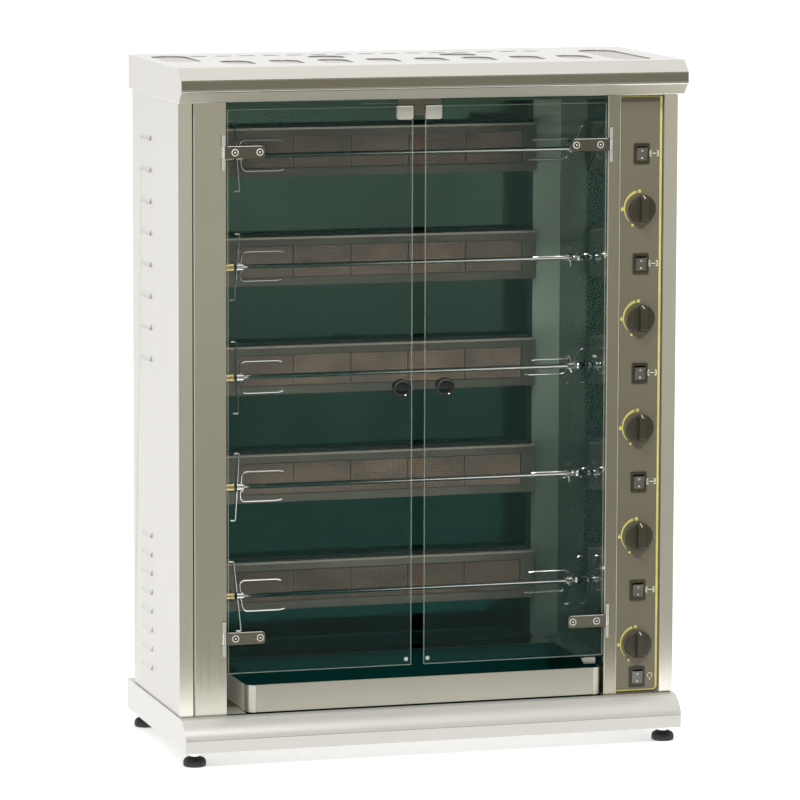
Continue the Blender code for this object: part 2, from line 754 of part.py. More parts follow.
def make_catch():
    """Catch over the doors' meeting edges: a plate with a magnet between the doors."""
    plate = box(
        (DOOR_GAP_X - 0.047, FRONT - 0.0025, FLOOR + 1.2940),
        (DOOR_GAP_X + 0.047, FRONT - GAP, CEILING + 0.0010),
    )
    magnet = box(
        (DOOR_GAP_X - 0.0115, FRONT - 0.0020, FLOOR + 1.2710),
        (DOOR_GAP_X + 0.0115, FRONT + 0.0160, FLOOR + 1.2960),
    )
    place_piece("door_catch", fuse(plate, magnet), SATIN_STEEL)


# ---------------------------------------------------------------- controls
def make_control_panel():
    """Control panel with a hole for each knob's stem and a framed window for each switch."""
    width, height = 0.026, 0.033
    loops = [rectangle(PANEL_LEFT, FLOOR + GAP, PANEL_RIGHT, CEILING)]
    for z in KNOB_HEIGHTS:
        loops.append(circle((CONTROL_X, z), 0.0070, 12))
    for z in SWITCH_HEIGHTS:
        loops.append(rectangle(CONTROL_X - width / 2, z - height / 2, CONTROL_X + width / 2, z + height / 2))
    plate = slab(loops, -FRONT - SHEET, -FRONT, XZ_ALONG_Y)
    frames = []
    for z in SWITCH_HEIGHTS:
        half_width, half_height = BEZEL[0] / 2, BEZEL[1] / 2
        outer = rectangle(
            CONTROL_X - half_width, z - half_height, CONTROL_X + half_width, z + half_height
        )
        half_width, half_height = ROCKER_WINDOW[0] / 2, ROCKER_WINDOW[1] / 2
        inner = rectangle(CONTROL_X - half_width, z - half_height, CONTROL_X + half_width, z + half_height)
        frames.append(slab([outer, inner], -FRONT - 0.0008, 0.0022 - FRONT, XZ_ALONG_Y))
    place_piece("control_panel", fuse(plate, gather(frames)), CONTROL_GREY)


def knob_mesh():
    """A gas knob about the panel's front face, standing along local +Z, grip bar along local Y."""
    skirt = turned(
        [
            (0.0, 0.0180),
            (0.0250, 0.0180),
            (0.0285, 0.0155),
            (0.0300, 0.0010),
            (0.0055, 0.0010),
            (0.0055, -0.0200),
            (0.0, -0.0200),
        ],
        24,
    )
    bar = slab([rounded_rectangle(-0.0110, -0.0275, 0.0110, 0.0275, (0.006,) * 4)], 0.0150, 0.0300, Matrix())
    return moved(fuse(skirt, bar), TO_MINUS_Y)


def make_knobs():
    mesh = knob_mesh()
    for row, z in enumerate(KNOB_HEIGHTS, 1):
        place = (CONTROL_X, FRONT, z)
        place_piece(f"gas_knob_{row}", moved(mesh, Matrix.Translation(place)), BLACK_MATTE, place, True)


def make_switches():
    """Rocker switches: one for each spit's motor and one for the light."""
    width, half_height, lip, middle, rear = 0.0236, 0.0140, -0.0090, -0.0072, 0.0060
    outline = [(lip, -half_height), (rear, -0.0095), (rear, 0.0095), (lip, half_height), (middle, 0.0)]
    rocker = slab([outline], -width / 2, width / 2, YZ_ALONG_X)
    pivot_y = FRONT + 0.0030
    names = [f"spit_switch_{row}" for row in range(1, SPIT_COUNT + 1)] + ["light_switch"]
    for name, z in zip(names, SWITCH_HEIGHTS):
        place = (CONTROL_X, pivot_y, z)
        tilt = Matrix.Translation(place) @ Matrix.Rotation(ROCKER_TILT, 4, "X")
        place_piece(name, moved(rocker, tilt), BLACK_MATTE, place)


def make_service_rail():
    """Rail behind the controls with the spit gearmotors, the gas valves and their manifold."""
    plate_x = 0.4700
    plate = box(
        (plate_x, SPIT_Y - 0.050, FLOOR + 0.060),
        (plate_x + 0.002, SPIT_Y + 0.050, SPIT_HEIGHTS[0] + 0.060),
    )
    pieces = []
    for z in SPIT_HEIGHTS:
        pieces.append(box((0.4120, SPIT_Y - 0.034, z - 0.034), (plate_x + 0.001, SPIT_Y + 0.034, z + 0.034)))
        pieces.append(cylinder((0.4095, SPIT_Y, z), 0.0075, 0.008, TO_PLUS_X, 12))
    manifold_y = FRONT + 0.066
    low, high = KNOB_HEIGHTS[-1] - 0.030, KNOB_HEIGHTS[0] + 0.030
    pieces.append(cylinder((CONTROL_X, manifold_y, (low + high) / 2), 0.009, high - low, None, 12))
    for z in KNOB_HEIGHTS:
        valve_y = FRONT + 0.0205 + 0.022
        pieces.append(cylinder((CONTROL_X, valve_y, z), 0.0120, 0.044, TO_MINUS_Y, 12))
    for z in (SPIT_HEIGHTS[1] - 0.060, SPIT_HEIGHTS[3] - 0.060):
        low_corner = (plate_x + 0.0005, manifold_y, z - 0.010)
        pieces.append(box(low_corner, (plate_x + 0.0015, SPIT_Y - 0.045, z + 0.010)))
    place_piece("service_rail", fuse(plate, *pieces), DARK_STEEL)


# ---------------------------------------------------------------- the oven
clear_scene()
PARTS = make_collection("rotisserie_oven")

PALE_STEEL = make_material("pale_steel", (0.76, 0.75, 0.72), 0.35, 1.0)
SATIN_STEEL = make_material("satin_steel", (0.62, 0.60, 0.55), 0.30, 1.0)
MIRROR_STEEL = make_material("mirror_steel", (0.60, 0.62, 0.60), 0.12, 1.0)
BRIGHT_STEEL = make_material("bright_steel", (0.80, 0.80, 0.78), 0.18, 1.0)
DARK_STEEL = make_material("dark_steel", (0.25, 0.24, 0.22), 0.45, 1.0)
CONTROL_GREY = make_material("control_grey", (0.22, 0.20, 0.15), 0.45, 0.6)
BLACK_MATTE = make_material("black_matte", (0.035, 0.033, 0.025), 0.50)
BLACK_GLOSS = make_material("black_gloss", (0.010, 0.011, 0.010), 0.10)
BLACK_RUBBER = make_material("black_rubber", (0.030, 0.030, 0.028), 0.70)
WARM_GLASS = make_material("lamp_glass", (0.95, 0.90, 0.78), 0.20)
TINTED_GLASS = make_material("tinted_glass", (0.30, 0.50, 0.46), 0.02, 0.0, 0.3)

make_plinth()
make_feet()
make_side_panels()
make_back_panel()
make_posts()
make_hood()
make_cavity()
make_burners()
make_spits()
make_forks()
make_drip_tray()
make_lamp()
make_doors()
make_catch()
make_control_panel()
make_knobs()
make_switches()
make_service_rail()
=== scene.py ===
"""Looks of the gas rotisserie oven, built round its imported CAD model.

Metres, +Z up, front facing -Y. Every piece is modelled in place, in the CAD model's own frame.
"""

import math

import bmesh
import bpy
from mathutils import Matrix, Vector


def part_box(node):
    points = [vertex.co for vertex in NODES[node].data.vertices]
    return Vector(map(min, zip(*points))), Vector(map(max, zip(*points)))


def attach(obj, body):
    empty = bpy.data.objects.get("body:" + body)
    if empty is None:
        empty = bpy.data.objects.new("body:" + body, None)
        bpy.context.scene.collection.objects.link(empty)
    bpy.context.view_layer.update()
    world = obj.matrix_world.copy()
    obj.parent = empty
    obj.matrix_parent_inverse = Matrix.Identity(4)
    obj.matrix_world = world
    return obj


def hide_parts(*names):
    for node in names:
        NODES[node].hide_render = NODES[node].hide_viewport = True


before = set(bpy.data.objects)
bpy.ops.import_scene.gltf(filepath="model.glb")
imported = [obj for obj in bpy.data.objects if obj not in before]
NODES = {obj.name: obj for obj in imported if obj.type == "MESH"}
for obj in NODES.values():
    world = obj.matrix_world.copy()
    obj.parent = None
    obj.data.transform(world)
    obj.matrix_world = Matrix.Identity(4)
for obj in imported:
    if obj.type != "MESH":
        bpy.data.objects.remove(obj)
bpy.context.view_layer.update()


def middle_of(node):
    """The middle of a CAD node's box."""
    return sum(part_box(node), Vector()) / 2


# ---- sizes read from the frame
FRONT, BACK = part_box("left_side_panel")[0].y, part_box("left_side_panel")[1].y
PLINTH_LOW, PLINTH_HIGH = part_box("base_plinth")
FLOOR = PLINTH_HIGH.z
HOOD_LOW, HOOD_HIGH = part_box("top_hood")
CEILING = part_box("left_side_panel")[1].z
ROWS = range(1, 6)
SPIT_Y = middle_of("spit_rod_1").y
SPIT_HEIGHTS = [middle_of(f"spit_rod_{row}").z for row in ROWS]
KNOB_HEIGHTS = [middle_of(f"gas_knob_{row}").z for row in ROWS]
CONTROL_X = middle_of("gas_knob_1").x
SWITCHES = [f"spit_switch_{row}" for row in ROWS] + ["light_switch"]
LIGHT_SWITCH_Z = FLOOR + 0.038
SWITCH_HEIGHTS = SPIT_HEIGHTS + [LIGHT_SWITCH_Z]
PANEL_LOW, PANEL_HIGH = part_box("control_panel")
OPENING_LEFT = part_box("cavity_liner")[0].x
OPENING_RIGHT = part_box("cavity_liner")[1].x
COLUMN_LEFT, COLUMN_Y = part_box("burner_1")[1].x, FRONT + 0.325    # column in the cavity's right rear corner
FEET = [f"{end}_{side}_foot" for end in ("front", "rear") for side in ("left", "right")]

SHEET = 0.0015    # thickness of the sheet steel
# most skins of this thickness paint light and shade on one face of a sheet
FILM = 0.0002    # thickness of a skin that gives one face of a sheet its own finish
SHARP = math.radians(32)    # a bend sharper than this shows as an edge

# local (x, y, z) of an outline in the XY plane, extruded along Z
FLAT = Matrix()
# local (x, y, z) of an outline in the YZ plane, extruded along X
YZ_ALONG_X = Matrix(((0, 0, 1, 0), (1, 0, 0, 0), (0, 1, 0, 0), (0, 0, 0, 1)))
# local (x, y, z) of an outline in the XZ plane, extruded towards -Y
XZ_ALONG_Y = Matrix(((1, 0, 0, 0), (0, 0, -1, 0), (0, 1, 0, 0), (0, 0, 0, 1)))
# local Z turned to -Y, and to +X
TO_MINUS_Y = Matrix.Rotation(math.radians(90), 4, "X")
TO_PLUS_X = Matrix.Rotation(math.radians(90), 4, "Y")


# ---- outlines
def arc(centre, radius, start, end, steps):
    """Points on a circle between two angles in degrees, both ends included."""
    turn = [math.radians(start + (end - start) * step / steps) for step in range(steps + 1)]
    return [(centre[0] + radius * math.cos(a), centre[1] + radius * math.sin(a)) for a in turn]


def circle(centre, radius, steps=32):
    """A closed circle, its first point not repeated."""
    return arc(centre, radius, 0, 360 - 360 / steps, steps - 1)


def rectangle(left, bottom, right, top):
    """Its corners, from the lower left one round to the upper left one."""
    return [(left, bottom), (right, bottom), (right, top), (left, top)]


def obround(centre, width, height):
    """A slot with round ends, longer along its first axis."""
    radius, steps = height / 2, 12
    reach = width / 2 - radius
    right = arc((centre[0] + reach, centre[1]), radius, -90, 90, steps)
    return right + arc((centre[0] - reach, centre[1]), radius, 90, 270, steps)


def fillet(points, radii, closed=False, steps=5):
    """A polyline with an arc of its own radius at each corner."""
    radii = [radii] * len(points) if isinstance(radii, (int, float)) else radii
    path = []
    for index, (corner, radius) in enumerate(zip(points, radii)):
        at_end = not closed and index in (0, len(points) - 1)
        here = Vector(corner)
        if at_end or radius <= 0:
            path.append(tuple(here))
            continue
        back = (Vector(points[index - 1]) - here).normalized()
        ahead = (Vector(points[(index + 1) % len(points)]) - here).normalized()
        half = back.angle(ahead) / 2
        centre = here + (back + ahead).normalized() * radius / math.sin(half)
        first = here + back * radius / math.tan(half) - centre
        last = here + ahead * radius / math.tan(half) - centre
        sweep = first.angle(last)
        for step in range(steps + 1):
            share = step / steps
            blend = first * math.sin((1 - share) * sweep) + last * math.sin(share * sweep)
            path.append(tuple(centre + blend / math.sin(sweep)))
    return path


def rounded_rectangle(left, bottom, right, top, radius, steps=5):
    """A rectangle with the same arc at each corner."""
    return fillet(rectangle(left, bottom, right, top), radius, closed=True, steps=steps)


def ribbon(path, widths):
    """The outline of a stripe along a path, with its own width at each point."""
    widths = [widths] * len(path) if isinstance(widths, float) else widths
    left, right = [], []
    for index, (point, width) in enumerate(zip(path, widths)):
        before = Vector(path[max(index - 1, 0)])
        after = Vector(path[min(index + 1, len(path) - 1)])
        along = (after - before).normalized()
        side = Vector((-along.y, along.x)) * width / 2
        left.append(tuple(Vector(point) + side))
        right.append(tuple(Vector(point) - side))
    return left + right[::-1]


# ---- meshes
def settled(obj):
    """The object's finished mesh in world space. The object goes."""
    bpy.context.view_layer.update()
    graph = bpy.context.evaluated_depsgraph_get()
    mesh = bpy.data.meshes.new_from_object(obj.evaluated_get(graph))
    mesh.transform(obj.matrix_world)
    bpy.data.objects.remove(obj, do_unlink=True)
    return cleaned(mesh)


def mesh_from(shape, name):
    """A new mesh from a bmesh, which is freed."""
    mesh = bpy.data.meshes.new(name)
    shape.to_mesh(mesh)
    shape.free()
    return mesh


def cleaned(mesh):
    """The mesh with its doubled points merged and its faces facing out."""
    shape = bmesh.new()
    shape.from_mesh(mesh)
    bmesh.ops.remove_doubles(shape, verts=shape.verts, dist=1e-6)
    bmesh.ops.recalc_face_normals(shape, faces=shape.faces)
    shape.to_mesh(mesh)
    shape.free()
    return mesh


def scratch(name, data):
    """A new object in the scene."""
    obj = bpy.data.objects.new(name, data)
    bpy.context.scene.collection.objects.link(obj)
    return obj


def add_spline(curve, points):
    """A straight-sided spline through (x, y, z) points."""
    spline = curve.splines.new("POLY")
    spline.points.add(len(points) - 1)
    for point, place in zip(spline.points, points):
        point.co = (*place, 1)
    return spline


def prism(loops, low, high, plane=FLAT):
    """A flat outline with its holes, extruded between two levels of the plane's third axis."""
    curve = bpy.data.curves.new("outline", "CURVE")
    curve.dimensions = "2D"
    curve.fill_mode = "BOTH"
    curve.extrude = (high - low) / 2
    for loop in loops:
        spline = add_spline(curve, [(across, up, 0) for across, up in loop])
        spline.use_cyclic_u = True
    obj = scratch("outline", curve)
    obj.matrix_world = plane @ Matrix.Translation((0, 0, (low + high) / 2))
    return settled(obj)


def block(low, high):
    """A box between two corners."""
    return prism([rectangle(low[0], low[1], high[0], high[1])], low[2], high[2])


def lathe(profile, steps, place):
    """A turned shape about local Z. The profile is (radius, height)."""
    shape = bmesh.new()
    turns = [math.tau * step / steps for step in range(steps)]
    rings = []
    for radius, height in profile:
        spread = turns if radius > 1e-6 else turns[:1]
        points = [(radius * math.cos(a), radius * math.sin(a), height) for a in spread]
        rings.append([shape.verts.new(point) for point in points])
    for upper, lower in zip(rings, rings[1:]):
        for step in range(steps):
            after = (step + 1) % steps
            ring = (upper[step % len(upper)], upper[after % len(upper)])
            ring += (lower[after % len(lower)], lower[step % len(lower)])
            shape.faces.new(dict.fromkeys(ring))
    mesh = mesh_from(shape, "turned")
    mesh.transform(place)
    return cleaned(mesh)


def rod(radius, start, end, steps, place):
    """A round bar along local Z."""
    return lathe([(0.0, start), (radius, start), (radius, end), (0.0, end)], steps, place)


def rod_along_x(start, end, y, z, radius):
    """A slim round bar, for the bright folded edge of a sheet."""
    return rod(radius, start, end, 16, Matrix.Translation((0, y, z)) @ TO_PLUS_X)


def wire(points, radius):
    """A round wire with closed ends along a list of points."""
    curve = bpy.data.curves.new("wire", "CURVE")
    curve.dimensions = "3D"
    curve.bevel_depth = radius
    curve.bevel_resolution = 3
    curve.use_fill_caps = True
    add_spline(curve, points)
    return settled(scratch("wire", curve))


def cut(base, *tools):
    """A mesh with others cut from it."""
    obj = scratch("base", base)
    cutters = [scratch("tool", tool) for tool in tools]
    for cutter in cutters:
        modifier = obj.modifiers.new("cut", "BOOLEAN")
        modifier.operation = "DIFFERENCE"
        modifier.object = cutter
    result = settled(obj)
    for cutter in cutters:
        bpy.data.objects.remove(cutter, do_unlink=True)
    return result


def joined(meshes):
    """Several meshes as one, each keeping its own body."""
    shape = bmesh.new()
    for mesh in meshes:
        shape.from_mesh(mesh)
    return mesh_from(shape, "joined")


def moved(mesh, matrix):
    """A copy of a mesh in another place."""
    copy = mesh.copy()
    copy.transform(matrix)
    return copy


# ---- pieces
def soften(obj, width, segments=2):
    """Welds a mesh whose faces came apart, and rounds its edges."""
    weld = obj.modifiers.new("weld", "WELD")
    weld.merge_threshold = 1e-5
    if width:
        bevel = obj.modifiers.new("edges", "BEVEL")
        bevel.width = width
        bevel.segments = segments
        bevel.limit_method = "ANGLE"
        bevel.angle_limit = math.radians(28)
        flat = obj.modifiers.new("flat_faces", "WEIGHTED_NORMAL")
        flat.weight = 100
        flat.keep_sharp = False


def add_piece(name, layers, body, stands_for=(), edge=0.0):
    """A new piece from (mesh, material) layers, riding on a CAD body."""
    shape = bmesh.new()
    for index, (mesh, _) in enumerate(layers):
        start = len(shape.faces)
        shape.from_mesh(mesh)
        shape.faces.ensure_lookup_table()
        for face in shape.faces[start:]:
            face.material_index = index
            face.smooth = True
    result = mesh_from(shape, name)
    result.set_sharp_from_angle(angle=SHARP)
    for _, material in layers:
        result.materials.append(material)
    obj = scratch(name, result)
    if edge:
        soften(obj, edge)
    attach(obj, body)
    if stands_for:
        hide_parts(*stands_for)
    return obj


def dress(node, material, edge=0.0, segments=2):
    """Gives a CAD node its finish, and rounds its edges without touching its mesh."""
    obj = NODES[node]
    obj.data.materials.clear()
    obj.data.materials.append(material)
    obj.data.shade_smooth()
    soften(obj, edge, segments)
    if not edge:
        obj.data.set_sharp_from_angle(angle=SHARP)


# ---- materials
GRAINS = {"x": (5, 900, 900), "y": (900, 5, 900), "z": (900, 900, 5), "none": (260, 260, 260)}


def set_inputs(tree, node, values):
    """Sets a node's sockets to plain values, or links them to other nodes' outputs."""
    for socket, value in values.items():
        if isinstance(value, bpy.types.NodeSocket):
            tree.links.new(value, node.inputs[socket])
        else:
            node.inputs[socket].default_value = value


def add_node(tree, kind, values, **settings):
    """A new shader node. Its settings come first, because they decide which sockets it has."""
    node = tree.nodes.new(f"ShaderNode{kind}")
    for setting, value in settings.items():
        setattr(node, setting, value)
    set_inputs(tree, node, values)
    return node


def start_material(name, colour, roughness, metallic=0.0):
    """A material with its node tree and its shader."""
    material = bpy.data.materials.new(name)
    material.use_nodes = True
    tree = material.node_tree
    shader = tree.nodes["Principled BSDF"]
    plain = {"Base Color": (*colour, 1.0), "Roughness": roughness, "Metallic": metallic}
    set_inputs(tree, shader, plain)
    return material, tree, shader


def object_space(tree, scale):
    """The piece's own coordinates in metres, stretched by a scale along each axis."""
    place = add_node(tree, "TexCoord", {}).outputs["Object"]
    return add_node(tree, "Mapping", {"Vector": place, "Scale": scale}).outputs["Vector"]


def object_axes(tree, scale=1.0):
    """The piece's own X, Y and Z in metres, times a scale."""
    return add_node(tree, "SeparateXYZ", {"Vector": object_space(tree, (scale,) * 3)}).outputs


def noise(tree, scale, detail=3.0, rough=0.55):
    """Cloudy noise about 0.5, finer along the axes with a larger scale."""
    values = {"Vector": object_space(tree, scale), "Scale": 1.0, "Detail": detail, "Roughness": rough}
    return add_node(tree, "TexNoise", values).outputs["Fac"]


def between(tree, value, low, high, source=(0.3, 0.7)):
    """A value mapped to a range of numbers."""
    values = {"Value": value, "From Min": source[0], "From Max": source[1], "To Min": low, "To Max": high}
    return add_node(tree, "MapRange", values).outputs["Result"]


def shade(tree, value, dark, light, source=(0.3, 0.7)):
    """A value mapped to a mix of two colours."""
    ramp = add_node(tree, "ValToRGB", {"Fac": value})
    for stop, position, colour in zip(ramp.color_ramp.elements, source, (dark, light)):
        stop.position = position
        stop.color = (*colour, 1.0)
    return ramp.outputs["Color"]


def mixed(tree, factor, first, second, how="MIX"):
    """Two colours mixed, each a plain value or another node's output."""
    values = {"Factor": factor, "A": first, "B": second}
    return add_node(tree, "Mix", values, data_type="RGBA", blend_type=how).outputs["Result"]


def multiplied(tree, first, second):
    """Two colours multiplied."""
    return mixed(tree, 1.0, first, second, "MULTIPLY")


def reckoned(tree, operation, *values):
    """The result of a Math node."""
    return add_node(tree, "Math", dict(enumerate(values)), operation=operation).outputs["Value"]


def roughen(tree, shader, height, strength, depth):
    """Bump on a material, from a value that says how high each point is."""
    bump = add_node(tree, "Bump", {"Height": height, "Strength": strength, "Distance": depth})
    set_inputs(tree, shader, {"Normal": bump.outputs["Normal"]})


def tinted(colour, factor):
    """A colour made lighter or darker."""
    return tuple(min(1.0, part * factor) for part in colour)


def steel(name, colour, roughness, grain, spread=0.04, tone=0.03, bump=0.06, metallic=1.0):
    """Sheet steel: a fine grain along one axis, and soft cloudy patches in its tone."""
    material, tree, shader = start_material(name, colour, roughness, metallic)
    lines = noise(tree, GRAINS[grain], 2.0)
    clouds = noise(tree, (3.1, 3.1, 2.3))
    cloudy = shade(tree, clouds, tinted(colour, 1 - tone), tinted(colour, 1 + tone))
    streaks = shade(tree, lines, (0.965, 0.965, 0.96), (1, 1, 1))
    set_inputs(tree, shader, {
        "Base Color": multiplied(tree, cloudy, streaks),
        "Roughness": between(tree, lines, roughness - spread, roughness + spread),
    })
    roughen(tree, shader, lines, bump, 0.00015)
    return material


def moulded(name, colour, roughness, texture=900.0, bump=0.15):
    """Plastic, rubber or paint with a fine even texture."""
    material, tree, shader = start_material(name, colour, roughness)
    fine = noise(tree, (texture,) * 3, 2.0)
    clouds = noise(tree, (35, 35, 35), 2.0)
    set_inputs(tree, shader, {
        "Base Color": shade(tree, clouds, tinted(colour, 0.90), tinted(colour, 1.10)),
        "Roughness": between(tree, fine, roughness - 0.05, roughness + 0.05),
    })
    roughen(tree, shader, fine, bump, 0.0002)
    return material


def graded_steel(name, low, high, roughness, metallic=1.0):
    """Polished steel graded by height, darker and more teal near the floor, with faint wiping streaks."""
    material, tree, shader = start_material(name, high, roughness, metallic)
    rise = between(tree, object_axes(tree)["Z"], 0, 1, (FLOOR, CEILING))
    tint = shade(tree, rise, low, high, (0.0, 0.75))
    clouds = shade(tree, noise(tree, (2.2, 2.2, 1.4), 4.0, 0.6), (0.72, 0.72, 0.72), (1, 1, 1))
    wipes = noise(tree, (14, 60, 9), 4.0)
    set_inputs(tree, shader, {
        "Base Color": multiplied(tree, tint, clouds),
        "Roughness": between(tree, wipes, roughness - 0.05, roughness + 0.09),
    })
    roughen(tree, shader, wipes, 0.05, 0.0010)
    return material


def column_steel(name, wall, low, high, roughness):
    """Steel whose rear column is lighter than the wall in front of it, and lighter towards the top."""
    material, tree, shader = start_material(name, high, roughness, 0.45)
    axes = object_axes(tree)
    tint = shade(tree, between(tree, axes["Z"], 0, 1, (FLOOR, CEILING)), low, high, (0.35, 0.60))
    rear = between(tree, axes["Y"], 0, 1, (COLUMN_Y - 0.002, COLUMN_Y - 0.001))
    face = between(tree, axes["X"], 0, 1, (COLUMN_LEFT + 0.0005, COLUMN_LEFT + 0.0010))
    column = reckoned(tree, "MULTIPLY", rear, face)
    clouds = shade(tree, noise(tree, (2.2, 2.2, 1.4), 4.0, 0.6), (0.76, 0.76, 0.76), (1, 1, 1))
    toned = mixed(tree, column, (*wall, 1.0), tint)
    set_inputs(tree, shader, {"Base Color": multiplied(tree, toned, clouds)})
    return material


def clear_glass(name, colour, alpha, roughness):
    """Flat toughened glass: clear, with the faintest cloudiness of wiped glass."""
    material, tree, shader = start_material(name, colour, roughness)
    smears = noise(tree, (6, 6, 2.5), 4.0)
    set_inputs(tree, shader, {
        "Alpha": alpha,
        "Specular IOR Level": 0.9,
        "Roughness": between(tree, smears, roughness, roughness + 0.05),
    })
    return material


def ceramic(name):
    """Burner plaque: brown ceramic pierced by rows of fine holes."""
    material, tree, shader = start_material(name, (0.21, 0.17, 0.12), 0.85)
    pitch = 0.0042
    axes = object_axes(tree, math.tau / pitch)
    pores = reckoned(tree, "ADD", reckoned(tree, "COSINE", axes["X"]), reckoned(tree, "COSINE", axes["Z"]))
    share = between(tree, pores, 0, 1, (-2, 2))
    colour = shade(tree, share, (0.20, 0.155, 0.115), (0.035, 0.028, 0.022), (0.55, 0.75))
    clouds = shade(tree, noise(tree, (9, 9, 16), 4.0), (0.55, 0.55, 0.55), (1.0, 0.98, 0.95))
    set_inputs(tree, shader, {"Base Color": multiplied(tree, colour, clouds)})
    roughen(tree, shader, between(tree, pores, 1, 0, (0.2, 1.4)), 0.5, 0.0012)
    return material


PALE = steel("pale_steel", (0.56, 0.545, 0.52), 0.36, "z", tone=0.015, metallic=0.7)
HOOD = steel("hood_steel", (0.73, 0.71, 0.655), 0.18, "x", spread=0.03, tone=0.015)
PLINTH = steel("plinth_steel", (0.62, 0.61, 0.585), 0.34, "x", tone=0.015, metallic=0.25)
SATIN = steel("satin_steel", (0.60, 0.58, 0.50), 0.19, "z", spread=0.03)
# the satin steel darkened, for the right post and the plinth's crease line: painted shade
SATIN_SHADED = steel("satin_steel_painted_shade", (0.41, 0.39, 0.31), 0.19, "z", spread=0.03)
SATIN_ALONG = steel("satin_steel_along", (0.39, 0.375, 0.32), 0.24, "x", spread=0.02, bump=0.02, metallic=0.8)
# pale half-matt steel on the floor beside the tray, lighter than the cavity steel: painted light
FLOOR_MARGIN_LIT = steel("floor_margin_painted_light", (0.42, 0.41, 0.35), 0.35, "y", tone=0.015, metallic=0.2)
# lighter and darker steel for the tray's sides and the rounds of its front corners: painted light, shade and
# highlight
TRAY_TURN_SHADE = steel("tray_turn_painted_shade", (0.24, 0.23, 0.19), 0.35, "none", tone=0.015, metallic=0.15)
TRAY_CORNER_HIGHLIGHT = steel("tray_corner_painted_highlight", (0.58, 0.56, 0.49), 0.35, "none", tone=0.015, metallic=0.15)
TRAY_SIDE_LIT = steel("tray_side_painted_light", (0.78, 0.75, 0.62), 0.35, "y", tone=0.015, metallic=0.15)
# darker steel for the hood's lower slope and nose: painted shade
UNDERSIDE_SHADE = steel(
    "hood_underside_painted_shade", (0.37, 0.355, 0.295), 0.32, "x", tone=0.015, bump=0.02, metallic=0.35
)
NOSE_SHADE = steel("hood_nose_painted_shade", (0.47, 0.445, 0.36), 0.20, "x", bump=0.02)
# the side panels' steel made lighter and glossier for their front folds: painted light
RETURN_LIT = steel("panel_fold_painted_light", (0.78, 0.765, 0.69), 0.19, "z", spread=0.03)
CLIP = steel("clip_steel", (0.52, 0.51, 0.46), 0.30, "x", bump=0.02, metallic=0.5)
HINGE = steel("hinge_steel", (0.20, 0.19, 0.155), 0.30, "x")
BRIGHT = steel("bright_steel", (0.86, 0.86, 0.84), 0.16, "none", spread=0.03, bump=0.03)
BURNER = steel("burner_steel", (0.20, 0.20, 0.17), 0.42, "x", tone=0.25)
# light half-matt steel on rolled edges, washers and screw heads: painted highlight
FOLD_HIGHLIGHT = steel("fold_steel", (0.76, 0.74, 0.67), 0.26, "none", spread=0.02, bump=0.02, metallic=0.25)
DARK = steel("dark_steel", (0.26, 0.25, 0.23), 0.45, "none")
CONTROL = steel(
    "control_plate", (0.134, 0.122, 0.086), 0.34, "z", spread=0.015, tone=0.02, bump=0.02, metallic=0.45
)
# the dark teal stands in for the dark green surroundings that the cavity's steel reflects: painted reflection
MIRROR = graded_steel("cavity_steel", (0.003, 0.072, 0.068), (0.055, 0.098, 0.074), 0.055)
COLUMN = column_steel("column_steel", (0.050, 0.085, 0.070), (0.17, 0.235, 0.19), (0.36, 0.46, 0.36), 0.06)
TRAY_FLOOR = graded_steel("tray_floor_steel", (0.006, 0.110, 0.100), (0.055, 0.098, 0.074), 0.10, 0.5)
BRASS = steel("bush_brass", (0.72, 0.56, 0.26), 0.28, "none")
KNOB = moulded("knob_plastic", (0.034, 0.030, 0.017), 0.42)
BEZEL = moulded("bezel_plastic", (0.032, 0.028, 0.014), 0.38)
ROCKER = moulded("rocker_plastic", (0.088, 0.085, 0.060), 0.34, 600.0, 0.05)
LIGHT_ROCKER = moulded("light_rocker_plastic", (0.140, 0.134, 0.122), 0.30, 600.0, 0.05)
GLOSS = moulded("handle_gloss", (0.006, 0.0085, 0.008), 0.09, 300.0, 0.02)
RUBBER = moulded("foot_rubber", (0.016, 0.016, 0.014), 0.62, 500.0, 0.3)
WHITE_PRINT = moulded("white_print", (0.80, 0.79, 0.72), 0.45)
PALE_PRINT = moulded("pale_print", (0.80, 0.78, 0.63), 0.45)
YELLOW_PRINT = moulded("yellow_print", (0.60, 0.53, 0.13), 0.45)
# tan and dark stripes beside the pinstripe: painted shade on the panel's folded edge and in the groove beside
# it
TAN_SHADE = moulded("tan_painted_shade", (0.45, 0.38, 0.20), 0.45)
DARK_SHADE = moulded("dark_painted_shade", (0.040, 0.036, 0.024), 0.45)
LENS = moulded("lamp_lens", (0.10, 0.13, 0.11), 0.20, 300.0, 0.4)
BUMPER = moulded("clear_bumper", (0.50, 0.60, 0.54), 0.15, 300.0, 0.02)
PANE = clear_glass("pane", (0.10, 0.20, 0.18), 0.03, 0.02)
PANE_EDGE = clear_glass("pane_edge", (0.52, 0.62, 0.55), 0.44, 0.18)
PLAQUE = ceramic("burner_ceramic")
SHADOW = moulded("shadow_gap", (0.010, 0.010, 0.008), 0.70)


# ---- base
def bow(inset):
    """(y, z) of the plinth's bowed front edge, from its face up to its top."""
    start = Vector((PLINTH_LOW.y + inset, FLOOR - 0.039))
    pull = Vector((PLINTH_LOW.y + 0.003 + inset, FLOOR - 0.017))
    end = Vector((PLINTH_LOW.y + 0.040, FLOOR - inset))
    steps = 12
    path = []
    for step in range(steps + 1):
        share = step / steps
        curve = start * (1 - share) ** 2 + pull * 2 * share * (1 - share) + end * share ** 2
        path.append(tuple(curve))
    return path


